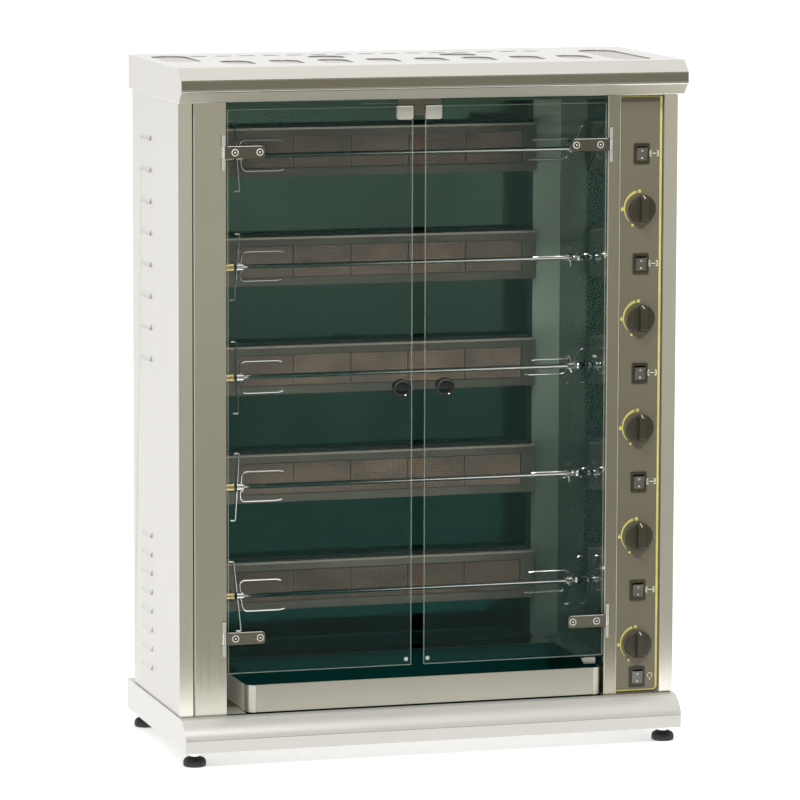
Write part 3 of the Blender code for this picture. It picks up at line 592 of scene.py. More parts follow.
def make_plinth():
    """Bowed sheet-steel base with its crease, open below, and a bracket for each foot."""
    wall, side = 0.003, PLINTH_HIGH.x
    bottom, front, rear = PLINTH_LOW.z, PLINTH_LOW.y, PLINTH_HIGH.y
    groove = front + 0.0010
    crease = [(front, FLOOR - 0.0408), (groove, FLOOR - 0.0404), (groove, FLOOR - 0.0396)]
    outer = [(front, bottom)] + crease + bow(0) + [(rear, FLOOR), (rear, bottom)]
    shell = prism([outer], -side, side, YZ_ALONG_X)
    back = [(rear - wall, FLOOR - wall), (rear - wall, bottom - wall)]
    inner = [(front + wall, bottom - wall)] + bow(wall) + back
    pocket = prism([inner], wall - side, side - wall, YZ_ALONG_X)
    shell = cut(shell, pocket)
    brackets, half = [], 0.022
    for name in FEET:
        centre = middle_of(name)
        low = (max(centre.x - half, wall - side), centre.y - half, bottom + 0.003)
        high = (min(centre.x + half, side - wall), centre.y + half, bottom + 0.015)
        brackets.append(block(low, high))
    # a dark line along the plinth's crease: painted shade
    line_low = (0.0012 - side, front + 0.0002, FLOOR - 0.0407)
    line_high = (side - 0.0012, front + 0.0020, FLOOR - 0.0393)
    layers = [(shell, PLINTH), (joined(brackets), DARK), (block(line_low, line_high), SATIN_SHADED)]
    add_piece("plinth_shell", layers, "cabinet", ["base_plinth"], 0.0006)


def make_feet():
    """Levelling feet: a black pad with a skirt, a lock nut and a threaded stem."""
    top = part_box("front_left_foot")[1].z
    pad = [
        (0.0, 0.0), (0.0215, 0.0), (0.0235, 0.0012), (0.0245, 0.0040), (0.0245, 0.0100), (0.0238, 0.0128),
        (0.0215, 0.0165), (0.0160, 0.0195), (0.0105, 0.0208), (0.0100, 0.0212), (0.0, 0.0212),
    ]
    turns, start, root, crest = 9, 0.0205, 0.0052, 0.0060
    thread = [(0.0, start)]
    for turn in range(turns):
        level = start + (top - 0.0210) * turn / turns
        thread += [(root, level + 0.0002), (crest, level + 0.0008)]
    thread += [(root, top - 0.0002), (0.0, top - 0.0002)]
    nut = prism([circle((0, 0), 0.0098, 6)], 0.0213, 0.0268)
    for name in FEET:
        centre = middle_of(name)
        here = Matrix.Translation((centre.x, centre.y, 0))
        stem = joined([lathe(thread, 24, here), moved(nut, here)])
        layers = [(lathe(pad, 48, here), RUBBER), (stem, BRIGHT)]
        add_piece(f"{name}_pad", layers, name, [name])


# ---- hood
# (y, z) of the bends of its nose, from the lowest up
HOOD_HEEL = (FRONT - 0.0270, HOOD_LOW.z)
HOOD_TOE = (FRONT - 0.0535, CEILING + 0.0270)
HOOD_BROW = (FRONT - 0.0525, CEILING + 0.0510)


def hood_outline(inset, bottom):
    """(y, z) of the hood's cross-section, with its folded bends."""
    corners = [
        (HOOD_HEEL[0] + inset, bottom),
        (HOOD_TOE[0] + inset, HOOD_TOE[1]),
        (HOOD_BROW[0] + inset, HOOD_BROW[1]),
        (FRONT - 0.0260 + inset / 2, HOOD_HIGH.z - inset),
        (BACK - inset, HOOD_HIGH.z - inset),
        (BACK - inset, bottom),
    ]
    return fillet(corners, [0, 0.0035, 0.0030, 0.0050, 0.0025, 0], closed=True)


def vent_loops():
    """Outlines of the vent openings in the hood's top, in the XY plane."""
    loops = [obround((0.0535 * (column - 7) - 0.054, FRONT + 0.315), 0.038, 0.016) for column in range(15)]
    # x, depth behind the front, length and width of the slots that run from front to back
    upright = [(-0.495, 0.250, 0.200, 0.078), (0.463, 0.165, 0.320, 0.084)]
    upright += [(x, 0.240, 0.090, 0.078) for x in (-0.165, 0.130)]
    upright += [(0.107 * column - 0.393, 0.115, 0.120, 0.064) for column in range(8)]
    for x, depth, length, width in upright:
        slot = obround((0, 0), length, width)
        loops.append([(x - across, FRONT + depth + along) for along, across in slot])
    return loops


def guard_holes():
    """Outlines of the holes in the perforated sheet under the vent openings."""
    pitch, radius, margin = 0.0085, 0.0027, 0.0045
    holes = []
    for loop in vent_loops():
        left, right = min(x for x, _ in loop) + margin, max(x for x, _ in loop) - margin
        near, far = min(y for _, y in loop) + margin, max(y for _, y in loop) - margin
        across, along = int((right - left) / pitch), int((far - near) / pitch)
        for column in range(across + 1):
            for row in range(along + 1):
                x = (left + right) / 2 + (column - across / 2) * pitch
                y = (near + far) / 2 + (row - along / 2) * pitch
                holes.append(circle((x, y), radius, 8))
    return holes


def facet_film(first, last, start, end, reach):
    """Thin brushed skin on the hood's facet between two of its bends, across the hood, carrying a darker
    steel: painted shade.
    """
    first, last = Vector(first), Vector(last)
    out = Vector((first.y - last.y, last.x - first.x)).normalized() * 0.0003
    low, high = first.lerp(last, start), first.lerp(last, end)
    return prism([[low - out, low + out, high + out, high - out]], -reach, reach, YZ_ALONG_X)


def make_hood():
    """Top hood: a folded shell with a sloped nose and closed ends, and a perforated sheet under its vents."""
    reach, wall = HOOD_HIGH.x, 0.0018
    shell = prism([hood_outline(0, HOOD_LOW.z)], -reach, reach, YZ_ALONG_X)
    pocket = prism([hood_outline(wall, HOOD_LOW.z + wall)], wall - reach, reach - wall, YZ_ALONG_X)
    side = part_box("left_side_panel")[0].x
    mouth_low = (side + 0.002, FRONT + 0.004, HOOD_LOW.z - 0.01)
    mouth_high = (-side - 0.002, BACK - 0.002, HOOD_LOW.z + 0.003)
    vents = [prism([loop], HOOD_HIGH.z - 0.006, HOOD_HIGH.z + 0.004) for loop in vent_loops()]
    shell = cut(shell, pocket, block(mouth_low, mouth_high), joined(vents))
    ends = joined([
        prism([hood_outline(0.0005, HOOD_LOW.z + 0.0005)], start, start + FILM, YZ_ALONG_X)
        for start in (reach, -reach - FILM)
    ])
    # darker skins on the lower slope and the nose: painted shade
    under = facet_film(HOOD_HEEL, HOOD_TOE, 0.06, 0.88, reach - 0.0015)
    nose = facet_film(HOOD_TOE, HOOD_BROW, 0.14, 0.88, reach - 0.0008)
    layers = [(shell, HOOD), (ends, PALE), (under, UNDERSIDE_SHADE), (nose, NOSE_SHADE)]
    add_piece("hood_shell", layers, "cabinet", ["top_hood"], 0.0005)
    sheet = rectangle(0.006 - reach, FRONT - 0.012, reach - 0.006, BACK - 0.006)
    guard = prism([sheet] + guard_holes(), HOOD_HIGH.z - 0.0036, HOOD_HIGH.z - 0.0028)
    add_piece("vent_guard", [(guard, PLINTH)], "cabinet")


# ---- drip tray
def make_tray():
    """Drip tray with rounded front corners, a folded lip, a lining, and skins: painted light on its sides,
    painted shade and highlight round its corners.
    """
    low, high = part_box("drip_tray")
    radius = 0.020
    top, front = FLOOR + 0.063, FRONT - 0.0010

    def outline(inset, front_radius, rear_radius):
        box = rectangle(low.x + inset, front + inset, high.x - inset, high.y - inset)
        return fillet(box, [front_radius] * 2 + [rear_radius] * 2, closed=True, steps=8)

    def skins(paths):
        return joined([prism([ribbon(path, FILM)], low.z + 0.001, top - 0.001) for path in paths])

    outer = outline(0, radius, 0.004)
    inner = outline(SHEET, radius - SHEET, 0.003)
    inmost = outline(SHEET + FILM, radius - SHEET, 0.003)
    walls = prism([outer, inner], low.z, top)
    bottom = prism([outer], low.z, low.z + SHEET)
    lip_box = rectangle(-0.3620, top - 0.0165, 0.3620, top + 0.0006)
    lip_outline = fillet(lip_box, [0.012, 0.012, 0, 0], closed=True)
    lip = prism([lip_outline], -front - 0.0008, 0.0012 - front, XZ_ALONG_Y)
    lining = joined([
        prism([inner, inmost], low.z + SHEET, top - 0.0015),
        prism([inner], low.z + SHEET, low.z + SHEET + FILM),
    ])
    sides, turns, fronts = [], [], []
    for edge, way, start, last in ((low.x, 1, 180, 268), (high.x, -1, 0, -88)):
        skin_x = edge - way * FILM / 2
        sides.append([(skin_x, high.y - 0.006), (skin_x, front + radius)])
        halfway = (start + last) / 2
        centre = (edge + way * radius, front + radius)
        turns.append(arc(centre, radius + FILM / 2, start, halfway, 6))
        fronts.append(arc(centre, radius + FILM / 2, halfway, last, 6))
    shape = joined([walls, bottom, lip])
    add_piece("drip_tray_body", [(shape, SATIN_ALONG)], "drip_tray", ["drip_tray"], 0.0005)
    # on each front corner's round, a darker half next to the side and a lighter half next to the front:
    # painted shade and highlight
    layers = [(lining, TRAY_FLOOR), (skins(turns), TRAY_TURN_SHADE), (skins(fronts), TRAY_CORNER_HIGHLIGHT)]
    add_piece("drip_tray_inside", layers, "drip_tray")
    # a pale skin on each side of the tray: painted light
    add_piece("drip_tray_sides", [(skins(sides), TRAY_SIDE_LIT)], "drip_tray")


def make_floor_margins():
    """Sheet-steel margins of the cavity's floor, left and right of the drip tray, pale and half-matt: painted
    light on the floor there.
    """
    low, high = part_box("drip_tray")
    margins = joined([
        block((start, FRONT + 0.0012, FLOOR + 0.0028), (end, FRONT + 0.380, FLOOR + 0.0031))
        for start, end in ((OPENING_LEFT + 0.001, low.x - 0.001), (high.x + 0.001, OPENING_RIGHT - 0.001))
    ])
    add_piece("floor_margins", [(margins, FLOOR_MARGIN_LIT)], "cabinet")


# ---- doors
KNUCKLE_RADIUS, KNUCKLE_HALF = 0.0032, 0.0122


def pane_mesh(low, high):
    """A pane with ground edges: two flat faces and, apart, its four narrow sides."""
    shape = bmesh.new()
    bmesh.ops.create_cube(shape, size=1.0)
    size = high - low
    place = Matrix.Translation((low + high) / 2) @ Matrix.Diagonal((*size, 1.0))
    bmesh.ops.transform(shape, matrix=place, verts=shape.verts)
    bmesh.ops.bevel(shape, geom=shape.edges, offset=0.0006, segments=1, affect="EDGES")
    meshes = []
    for facing in (True, False):
        part = shape.copy()
        others = [face for face in part.faces if (abs(face.normal.y) > 0.99) != facing]
        bmesh.ops.delete(part, geom=others, context="FACES")
        meshes.append(mesh_from(part, "pane"))
    shape.free()
    return meshes


def screw_layers(centre):
    """A washer, a ring of painted shadow and a bright socket-head screw, facing -Y; the washer's and head's
    light half-matt steel is a painted highlight.
    """
    here = Matrix.Translation(centre) @ TO_MINUS_Y
    washer = [(0.0, 0.0), (0.0075, 0.0), (0.0075, 0.0007), (0.0069, 0.0010), (0.0, 0.0010)]
    ring = [(0.0, 0.0008), (0.0056, 0.0008), (0.0055, 0.0014), (0.0, 0.0014)]
    head = [(0.0, 0.0026), (0.0015, 0.0025), (0.0021, 0.0018), (0.0022, 0.0012), (0.0, 0.0012)]
    turned = ((washer, FOLD_HIGHLIGHT), (ring, SHADOW), (head, FOLD_HIGHLIGHT))
    return [(lathe(profile, 32, here), finish) for profile, finish in turned]


def hinge_axis(side, end):
    """(x, y, z) of the middle of a door hinge's pin."""
    low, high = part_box(f"{side}_{end}_hinge_leaf")
    x = low.x + KNUCKLE_RADIUS if side == "left" else high.x - KNUCKLE_RADIUS
    return x, FRONT - 0.0036, (low.z + high.z) / 2


def make_hinge_leaf(side, end, way):
    """A door's hinge leaf: a plate with a rounded end, a rolled knuckle and two screws."""
    node = f"{side}_{end}_hinge_leaf"
    low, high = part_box(node)
    axis_x, axis_y, middle_z = hinge_axis(side, end)
    half = (high.z - low.z) / 2
    left, right = sorted((axis_x + way * 0.0020, axis_x + way * 0.0895))
    corners = rectangle(left, middle_z - half, right, middle_z + half)
    radii = [0, 0.006, 0.006, 0] if way > 0 else [0.006, 0, 0, 0.006]
    plate = prism([fillet(corners, radii, closed=True)], -axis_y - 0.0012, 0.0012 - axis_y, XZ_ALONG_Y)
    notches = []
    near_x, far_x = sorted((axis_x - way * 0.001, axis_x + way * 0.0045))
    for sign in (-1, 1):
        low_z, high_z = sorted((middle_z + sign * KNUCKLE_HALF, middle_z + sign * (half + 0.001)))
        notches.append(block((near_x, axis_y - 0.006, low_z), (far_x, axis_y + 0.006, high_z)))
    plate = cut(plate, *notches)
    lower_end = [(0.0019, -KNUCKLE_HALF), (KNUCKLE_RADIUS, -KNUCKLE_HALF)]
    profile = lower_end + [(radius, -along) for radius, along in lower_end[::-1]]
    roll = lathe(profile, 32, Matrix.Translation((axis_x, axis_y, middle_z)))
    # a half-matt rod along the plate's upper edge: painted highlight
    rim = rod_along_x(left + 0.006, right - 0.006, axis_y - 0.0010, middle_z + half - 0.0004, 0.0006)
    layers = [(plate, HINGE), (roll, BRIGHT), (rim, FOLD_HIGHLIGHT)]
    for offset in (0.0245, 0.0785):
        layers += screw_layers((axis_x + way * offset, axis_y - 0.0012, middle_z))
    add_piece(f"{side}_{end}_hinge_plate", layers, f"{side}_door", [node], 0.0003)


def make_doors():
    """Clear glass doors with ground edges, round dished handles, hinge leaves, clips and bumpers."""
    dish = [
        (0.0, 0.0378), (0.0080, 0.0380), (0.0130, 0.0388), (0.0158, 0.0404), (0.0172, 0.0414),
        (0.0188, 0.0414), (0.0198, 0.0404), (0.0200, 0.0385), (0.0199, 0.0345), (0.0192, 0.0305),
        (0.0165, 0.0255), (0.0125, 0.0210), (0.0100, 0.0160), (0.0090, 0.0100), (0.0095, 0.0040),
        (0.0110, 0.0004), (0.0, 0.0004),
    ]
    dome = [(0.0, 0.0030), (0.0030, 0.0027), (0.0042, 0.0016), (0.0046, 0.0002), (0.0, 0.0002)]
    for side, way in (("left", 1), ("right", -1)):
        body, glass, handle = f"{side}_door", f"{side}_door_glass", f"{side}_door_handle"
        low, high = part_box(glass)
        faces, rim = pane_mesh(low, high)
        add_piece(f"{side}_pane", [(faces, PANE), (rim, PANE_EDGE)], body, [glass])
        centre = middle_of(handle)
        here = Matrix.Translation((centre.x, low.y, centre.z)) @ TO_MINUS_Y
        add_piece(f"{side}_grip", [(lathe(dish, 64, here), GLOSS)], body, [handle])
        for end in ("top", "bottom"):
            make_hinge_leaf(side, end, way)
        edge = high.x if side == "left" else low.x
        place = Matrix.Translation((edge - way * 0.010, high.y, low.z + 0.012)) @ TO_MINUS_Y.inverted()
        add_piece(f"{side}_bumper", [(lathe(dome, 32, place), BUMPER)], body)
        dress(f"{side}_door_clip", CLIP, 0.0008)
        clip_low, clip_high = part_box(f"{side}_door_clip")
        span = (clip_low.x + 0.0010, clip_high.x - 0.0010)
        # a half-matt rod along the clip's top fold: painted highlight
        fold = rod_along_x(*span, clip_low.y + 0.0006, clip_high.z - 0.0010, 0.0013)
        add_piece(f"{side}_clip_fold", [(fold, FOLD_HIGHLIGHT)], body)


# ---- controls
ROCKER_TILT = math.radians(7)
BEZEL_SIZE = (0.0355, 0.0445)
WINDOW_SIZE = (0.0246, 0.0316)


def centred(x, z, size, radius=0.0):
    """A rectangle of a (width, height) about its middle, with rounded corners."""
    return rounded_rectangle(x - size[0] / 2, z - size[1] / 2, x + size[0] / 2, z + size[1] / 2, radius, 4)


def make_control_panel():
    """Control plate with holes for the knobs' stems, and a plastic frame round each switch."""
    loops = [rectangle(PANEL_LOW.x, PANEL_LOW.z, PANEL_HIGH.x, PANEL_HIGH.z)]
    loops += [circle((CONTROL_X, z), 0.0070) for z in KNOB_HEIGHTS]
    loops += [centred(CONTROL_X, z, (0.026, 0.033)) for z in SWITCH_HEIGHTS]
    plate = prism(loops, -FRONT - SHEET, -FRONT, XZ_ALONG_Y)
    bezels = []
    for z in SWITCH_HEIGHTS:
        outer = centred(CONTROL_X, z, BEZEL_SIZE, 0.0030)
        inner = centred(CONTROL_X, z, WINDOW_SIZE, 0.0012)
        bezels.append(prism([outer, inner], -FRONT - 0.0008, 0.0030 - FRONT, XZ_ALONG_Y))
    add_piece("control_plate", [(plate, CONTROL)], "cabinet", ["control_panel"])
    add_piece("switch_frames", [(joined(bezels), BEZEL)], "cabinet", edge=0.0006)


def print_mesh(loops):
    """Printed marks on the control panel's front."""
    return joined([prism([loop], -FRONT, 0.00015 - FRONT, XZ_ALONG_Y) for loop in loops])


def knob_marks(z):
    """Heat scale left of a gas knob: a dot for off, a tapering arc, a flame and a small dot."""
    centre = (CONTROL_X, z)
    steps = 24
    path = arc(centre, 0.0378, 107, 226, steps)
    widths = [0.0058 - 0.0048 * step / steps for step in range(steps + 1)]
    big = circle(arc(centre, 0.0372, 96, 97, 1)[0], 0.0040)
    small = circle(arc(centre, 0.0405, 242, 243, 1)[0], 0.0028, 20)
    tip = (CONTROL_X - 0.0424, z + 0.0050)
    belly = arc((tip[0], z - 0.0018), 0.0033, -200, 20, 12)
    return [ribbon(path, widths), big, small, [tip] + belly]


def spit_symbol(z):
    """Turning spit: a bar between two facing brackets."""
    left, right, half, hook = CONTROL_X + 0.0195, CONTROL_X + 0.0382, 0.0056, 0.0034
    marks = [ribbon([(left + 0.0025, z), (right - 0.0025, z)], 0.0016)]
    for x, way in ((left, 1), (right, -1)):
        bracket = [(x + way * hook, z - half), (x, z - half), (x, z + half), (x + way * hook, z + half)]
        marks.append(ribbon(fillet(bracket, [0, 0.0012, 0.0012, 0], steps=4), 0.0016))
        marks.append([(x + way * 0.0062, z), (x + way * 0.0024, z + 0.0021), (x + way * 0.0024, z - 0.0021)])
    return marks


def bulb_symbol(z):
    """Lamp: a ring with a small cap below it."""
    centre = (CONTROL_X + 0.0300, z + 0.0020)
    ring = arc(centre, 0.0052, -60, 240, 24)
    cap = [(centre[0] - 0.0018, z - 0.0048), (centre[0] + 0.0018, z - 0.0048), (centre[0], z - 0.0096)]
    return [ribbon(ring, 0.0011), cap]


def make_prints():
    """Yellow scales, pale symbols and the pinstripe round the controls, with a tan and a dark stripe beside
    it: painted shade on the panel's folded edge and in its groove.
    """
    marks = [loop for z in KNOB_HEIGHTS for loop in knob_marks(z)]
    add_piece("knob_scales", [(print_mesh(marks), YELLOW_PRINT)], "cabinet")
    symbols = [loop for z in SPIT_HEIGHTS for loop in spit_symbol(z)] + bulb_symbol(LIGHT_SWITCH_Z)
    add_piece("switch_symbols", [(print_mesh(symbols), PALE_PRINT)], "cabinet")
    line_x, left, low, high = 0.5143, PANEL_LOW.x + 0.0006, FLOOR + 0.0080, FLOOR + 1.3030
    stripes = []
    # how far to the right of the line each stripe is, its width and its colour: yellow ink, then tan and dark
    # painted shade
    bands = ((0.0, 0.0036, YELLOW_PRINT), (0.0026, 0.0018, TAN_SHADE), (0.0046, 0.0023, DARK_SHADE))
    for offset, width, ink_and_shade in bands:
        x = line_x + offset
        corners = [(left, low - offset * 0.6), (x, low - offset * 0.6), (x, high)]
        radii = [0, 0.0070 + offset, 0]
        if ink_and_shade is not DARK_SHADE:
            corners.append((left, high))
            radii = [0, 0.0070 + offset, 0.0030, 0]
        path = fillet(corners, radii, steps=8)
        stripes.append((print_mesh([ribbon(path, width)]), ink_and_shade))
    add_piece("pinstripe", stripes, "cabinet")


def make_knobs():
    """Gas knobs: a disc on a narrower foot, a grip bar with sloped ends and a white pointer line."""
    disc = [
        (0.0, 0.0180), (0.0150, 0.0178), (0.0240, 0.0172), (0.0282, 0.0162), (0.0296, 0.0146),
        (0.0300, 0.0124), (0.0300, 0.0104), (0.0292, 0.0090), (0.0262, 0.0076), (0.0238, 0.0052),
        (0.0232, 0.0010), (0.0055, 0.0010), (0.0055, -0.0200), (0.0, -0.0200),
    ]
    half_width, low, high = 0.0084, 0.0120, 0.0300
    foot, crest = 0.0298, 0.0228
    side = fillet([(-foot, low), (-crest, high), (crest, high), (foot, low)], [0, 0.0040, 0.0040, 0], steps=6)
    slope = math.atan2(high - low, foot - crest)
    for row, z in enumerate(KNOB_HEIGHTS, 1):
        knob = f"gas_knob_{row}"
        here = Matrix.Translation((CONTROL_X, FRONT, z)) @ TO_MINUS_Y
        bar = prism([side], -half_width, half_width, here @ YZ_ALONG_X)
        start = here @ Matrix.Translation((0, foot, low)) @ Matrix.Rotation(-slope, 4, "X")
        pointer = prism([ribbon([(0, -0.0182), (0, -0.0006)], 0.0020)], -0.0001, 0.0002, start)
        layers = [(lathe(disc, 64, here), KNOB), (bar, KNOB), (pointer, WHITE_PRINT)]
        add_piece(f"{knob}_cap", layers, knob, [knob], 0.0007)


def make_switches():
    """Rocker switches, each with a small triangle on its lower half and a ring on its upper half."""
    width, half_height, lip, middle, rear = 0.0236, 0.0140, -0.0090, -0.0072, 0.0060
    outline = [(lip, -half_height), (rear, -0.0095), (rear, 0.0095), (lip, half_height), (middle, 0.0)]
    body = prism([outline], -width / 2, width / 2, YZ_ALONG_X)
    slope = math.atan2(middle - lip, half_height)
    triangle = [(-0.0022, -0.0098), (0.0022, -0.0098), (0, -0.0062)]
    ring, hole = circle((0, 0.0075), 0.0021, 20), circle((0, 0.0075), 0.0014, 20)
    for name, z in zip(SWITCHES, SWITCH_HEIGHTS):
        here = Matrix.Translation((CONTROL_X, FRONT + 0.0030, z)) @ Matrix.Rotation(ROCKER_TILT, 4, "X")
        marks = []
        for loops, tilt in (([triangle], -slope), ([ring, hole], slope)):
            half = here @ Matrix.Translation((0, middle, 0)) @ Matrix.Rotation(tilt, 4, "X") @ TO_MINUS_Y
            marks.append(prism(loops, -0.0001, 0.00015, half))
        plastic = LIGHT_ROCKER if name == "light_switch" else ROCKER
        layers = [(moved(body, here), plastic), (joined(marks), WHITE_PRINT)]
        add_piece(f"{name}_rocker", layers, name, [name], 0.0006)


# ---- cooking space
def make_burner_faces():
    """Ceramic plaques in each burner's recess, and the bright folded lip over them."""
    tiles, gap, left, right = 5, 0.0012, -0.352, 0.300
    pitch = (right - left) / tiles
    for row, z in enumerate(SPIT_HEIGHTS, 1):
        dress(f"burner_{row}", BURNER, 0.0008)
        low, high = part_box(f"burner_{row}")
        plaques = []
        for tile in range(tiles):
            start = left + pitch * tile
            outline = rounded_rectangle(start + gap, z - 0.0410, start + pitch - gap, z + 0.0260, 0.0015)
            plaques.append(prism([outline], -low.y - 0.0052, -low.y - 0.0020, XZ_ALONG_Y))
        near, far, rear = low.y - 0.0015, low.y - 0.0003, low.y + 0.020
        hem, sole, crest = high.z - 0.0035, high.z + 0.0003, high.z + 0.0012
        fold = [(near, crest), (near, hem), (far, hem), (far, sole), (rear, sole), (rear, crest)]
        lip = prism([fold], low.x + 0.001, high.x - 0.001, YZ_ALONG_X)
        layers = [(joined(plaques), PLAQUE), (lip, SATIN_ALONG)]
        add_piece(f"burner_{row}_face", layers, "cabinet", edge=0.0004)


def fork_mesh(place):
    """A meat fork about the origin: hub, thumb screw, cross wire with hooked ends and two prongs."""
    end = [(0.0054, 0.0080), (0.0088, 0.0080), (0.0095, 0.0073)]
    hub = lathe(end + [(radius, -along) for radius, along in end[::-1]], 40, place @ TO_PLUS_X)
    prong = [(0.003, 0.0080), (0.003, 0.034), (0.086, 0.034), (0.096, 0.0315)]
    prong = fillet(prong, [0, 0.012, 0.006, 0], steps=8)
    hook = fillet([(-0.005, 0.0080), (-0.005, 0.0775), (-0.016, 0.0765)], [0, 0.0040, 0], steps=6)
    wires = [
        wire([place @ Vector((x, 0, way * z)) for x, z in path], radius)
        for way in (1, -1)
        for path, radius in ((prong, 0.0021), (hook, 0.0019))
    ]
    stem = rod(0.0030, -0.0080, -0.0190, 24, place @ TO_MINUS_Y)
    wing = [(-0.0035, -0.0250), (0.0035, -0.0250), (0.0050, -0.0180), (-0.0050, -0.0180)]
    wing = prism([fillet(wing, 0.0015, closed=True)], -0.0010, 0.0010, place)
    return joined([hub, *wires, stem, wing])


def make_spits():
    """Polished spit rods with smooth wire forks, in brass bushes."""
    angles = (-17, 17, -8, 12, -24)
    half_turn = Matrix.Rotation(math.pi, 4, "Z")
    mouth, lip = -0.3942, -0.3960
    bush = [(0.0104, OPENING_LEFT), (0.0104, lip), (0.0100, mouth), (0.0060, mouth), (0.0058, lip)]
    for row, (z, angle) in enumerate(zip(SPIT_HEIGHTS, angles), 1):
        dress(f"spit_rod_{row}", BRIGHT)
        ends = (("left", -0.3810, angle, Matrix()), ("right", 0.3640, angle + 62, half_turn))
        for side, x, turn, facing in ends:
            place = Matrix.Translation((x, SPIT_Y, z)) @ Matrix.Rotation(math.radians(turn), 4, "X") @ facing
            layers = [(fork_mesh(place), BRIGHT)]
            add_piece(f"fork_{side}_{row}", layers, f"spit_{row}", [f"{side}_fork_{row}"])
        shell = lathe(bush, 40, Matrix.Translation((0, SPIT_Y, z)) @ TO_PLUS_X)
        add_piece(f"spit_{row}_bush", [(shell, BRASS)], "cabinet")


def make_cavity():
    """Finishes of the cavity's own solids, the rim of the lamp and the bright tab of the right ledge."""
    dress("cavity_liner", MIRROR, 0.0006)
    dress("cavity_left_wall", MIRROR, 0.0004)
    dress("cavity_right_wall", COLUMN, 0.0005)
    dress("interior_lamp", LENS, 0.0030, 4)
    low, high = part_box("interior_lamp")
    outline = rounded_rectangle(low.x - 0.004, low.y - 0.004, high.x + 0.004, high.y + 0.004, 0.012, 6)
    window = rounded_rectangle(low.x + 0.0005, low.y + 0.0005, high.x - 0.0005, high.y - 0.0005, 0.010, 6)
    rim = prism([outline, window], high.z - 0.006, high.z - 0.0002)
    add_piece("lamp_rim", [(rim, MIRROR)], "cabinet", edge=0.0005)
    right, low_z, high_z = 0.3860, FLOOR + 0.0660, FLOOR + 0.0800
    tab = [(0.3600, low_z), (right, low_z), (right, high_z), (0.3530, high_z)]
    plate = prism([tab], -FRONT - 0.0310, -FRONT - 0.0300, XZ_ALONG_Y)
    add_piece("ledge_tab", [(plate, PALE)], "cabinet", edge=0.0002)


# ---- cabinet
def make_cabinet():
    """Finishes of the cabinet's own solids."""
    for node in ("left_side_panel", "right_side_panel"):
        dress(node, PALE, 0.0010)
    dress("back_panel", PALE, 0.0004)
    dress("left_post", SATIN, 0.0012, 4)
    # the right post in the left post's steel, darkened: painted shade
    dress("right_post", SATIN_SHADED, 0.0012, 4)
    dress("door_catch", HINGE, 0.0004)
    dress("service_rail", DARK, 0.0006)


def make_panel_folds():
    """Lighter skins over the side panels' front folds, a painted light, and a painted shadow in the joint
    beside the left post.
    """
    left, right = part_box("left_side_panel"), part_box("right_side_panel")
    post_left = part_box("left_post")[0].x
    inset, overlap = 0.0014, 0.0028
    spans = ((left[0].x + inset, post_left - overlap), (PANEL_HIGH.x - overlap, right[1].x - inset))
    folds = joined([
        block((start, FRONT - 0.0003, left[0].z + inset), (end, FRONT + 0.0002, left[1].z - inset))
        for start, end in spans
    ])
    joint_low = (post_left - overlap, FRONT - 0.0002, FLOOR + 0.002)
    joint = block(joint_low, (post_left - 0.0002, FRONT + 0.0010, CEILING - 0.002))
    add_piece("side_panel_folds", [(folds, RETURN_LIT), (joint, SHADOW)], "cabinet")


def make_post_folds():
    """Rounded folded edges down both posts, in a half-matt steel that paints their highlights."""
    left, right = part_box("left_post"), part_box("right_post")
    margin = 0.002
    height = right[1].z - right[0].z - margin * 2
    edges = ((left[0].x + 0.0015, 0.0013), (right[0].x + 0.0017, 0.0012), (right[1].x - 0.0011, 0.0010))
    beads = [
        rod(radius, 0.0, height, 24, Matrix.Translation((x, FRONT + radius * 0.4, right[0].z + margin)))
        for x, radius in edges
    ]
    add_piece("post_folds", [(joined(beads), CLIP)], "cabinet")


def make_fixed_knuckles():
    """Sleeves over the posts' two knuckles of each hinge, above and below the door's own knuckle."""
    knuckles = []
    for side in ("left", "right"):
        for end in ("top", "bottom"):
            x, y, z = hinge_axis(side, end)
            for way in (-1, 1):
                place = Matrix.Translation((x, y, z + way * 0.0250))
                knuckles.append(rod(0.0040, -KNUCKLE_HALF, KNUCKLE_HALF, 32, place))
    add_piece("hinge_knuckles", [(joined(knuckles), CLIP)], "cabinet", edge=0.0004)


def make_back_screws():
    """Pan-head screws round the back panel's edge."""
    low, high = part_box("back_panel")
    head = [(0.0, 0.0022), (0.0022, 0.0020), (0.0036, 0.0012), (0.0040, 0.0001), (0.0, 0.0001)]
    facing_back = Matrix.Rotation(math.radians(-90), 4, "X")
    heads = []
    for x in (low.x + 0.030, 0.0, high.x - 0.030):
        for z in (low.z + 0.025, (low.z * 2 + high.z) / 3, (low.z + high.z * 2) / 3, high.z - 0.025):
            if x == 0.0 and low.z + 0.1 < z < high.z - 0.1:
                continue
            heads.append(lathe(head, 24, Matrix.Translation((x, high.y, z)) @ facing_back))
    add_piece("back_screws", [(joined(heads), BRIGHT)], "cabinet")


# ---- studio
def make_floor():
    """Plain pale floor, and a pale card that only reflections see."""
    reach = 60.0
    material, tree, shader = start_material("floor", (0.93, 0.93, 0.93), 0.9)
    set_inputs(tree, shader, {"Emission Color": (1, 1, 1, 1), "Emission Strength": 0.42})
    for name, near in (("floor", -reach), ("floor_card", FRONT - 0.75)):
        shape = bmesh.new()
        shape.faces.new([shape.verts.new((x, y, 0)) for x, y in rectangle(-reach, near, reach, reach)])
        mesh = mesh_from(shape, name)
        mesh.materials.append(material)
        plane = scratch(name, mesh)
        card = name == "floor_card"
        plane.visible_glossy = card
        if card:
            plane.visible_camera = plane.visible_diffuse = plane.visible_shadow = False
            plane.visible_transmission = False
            plane.location.z = -0.0005


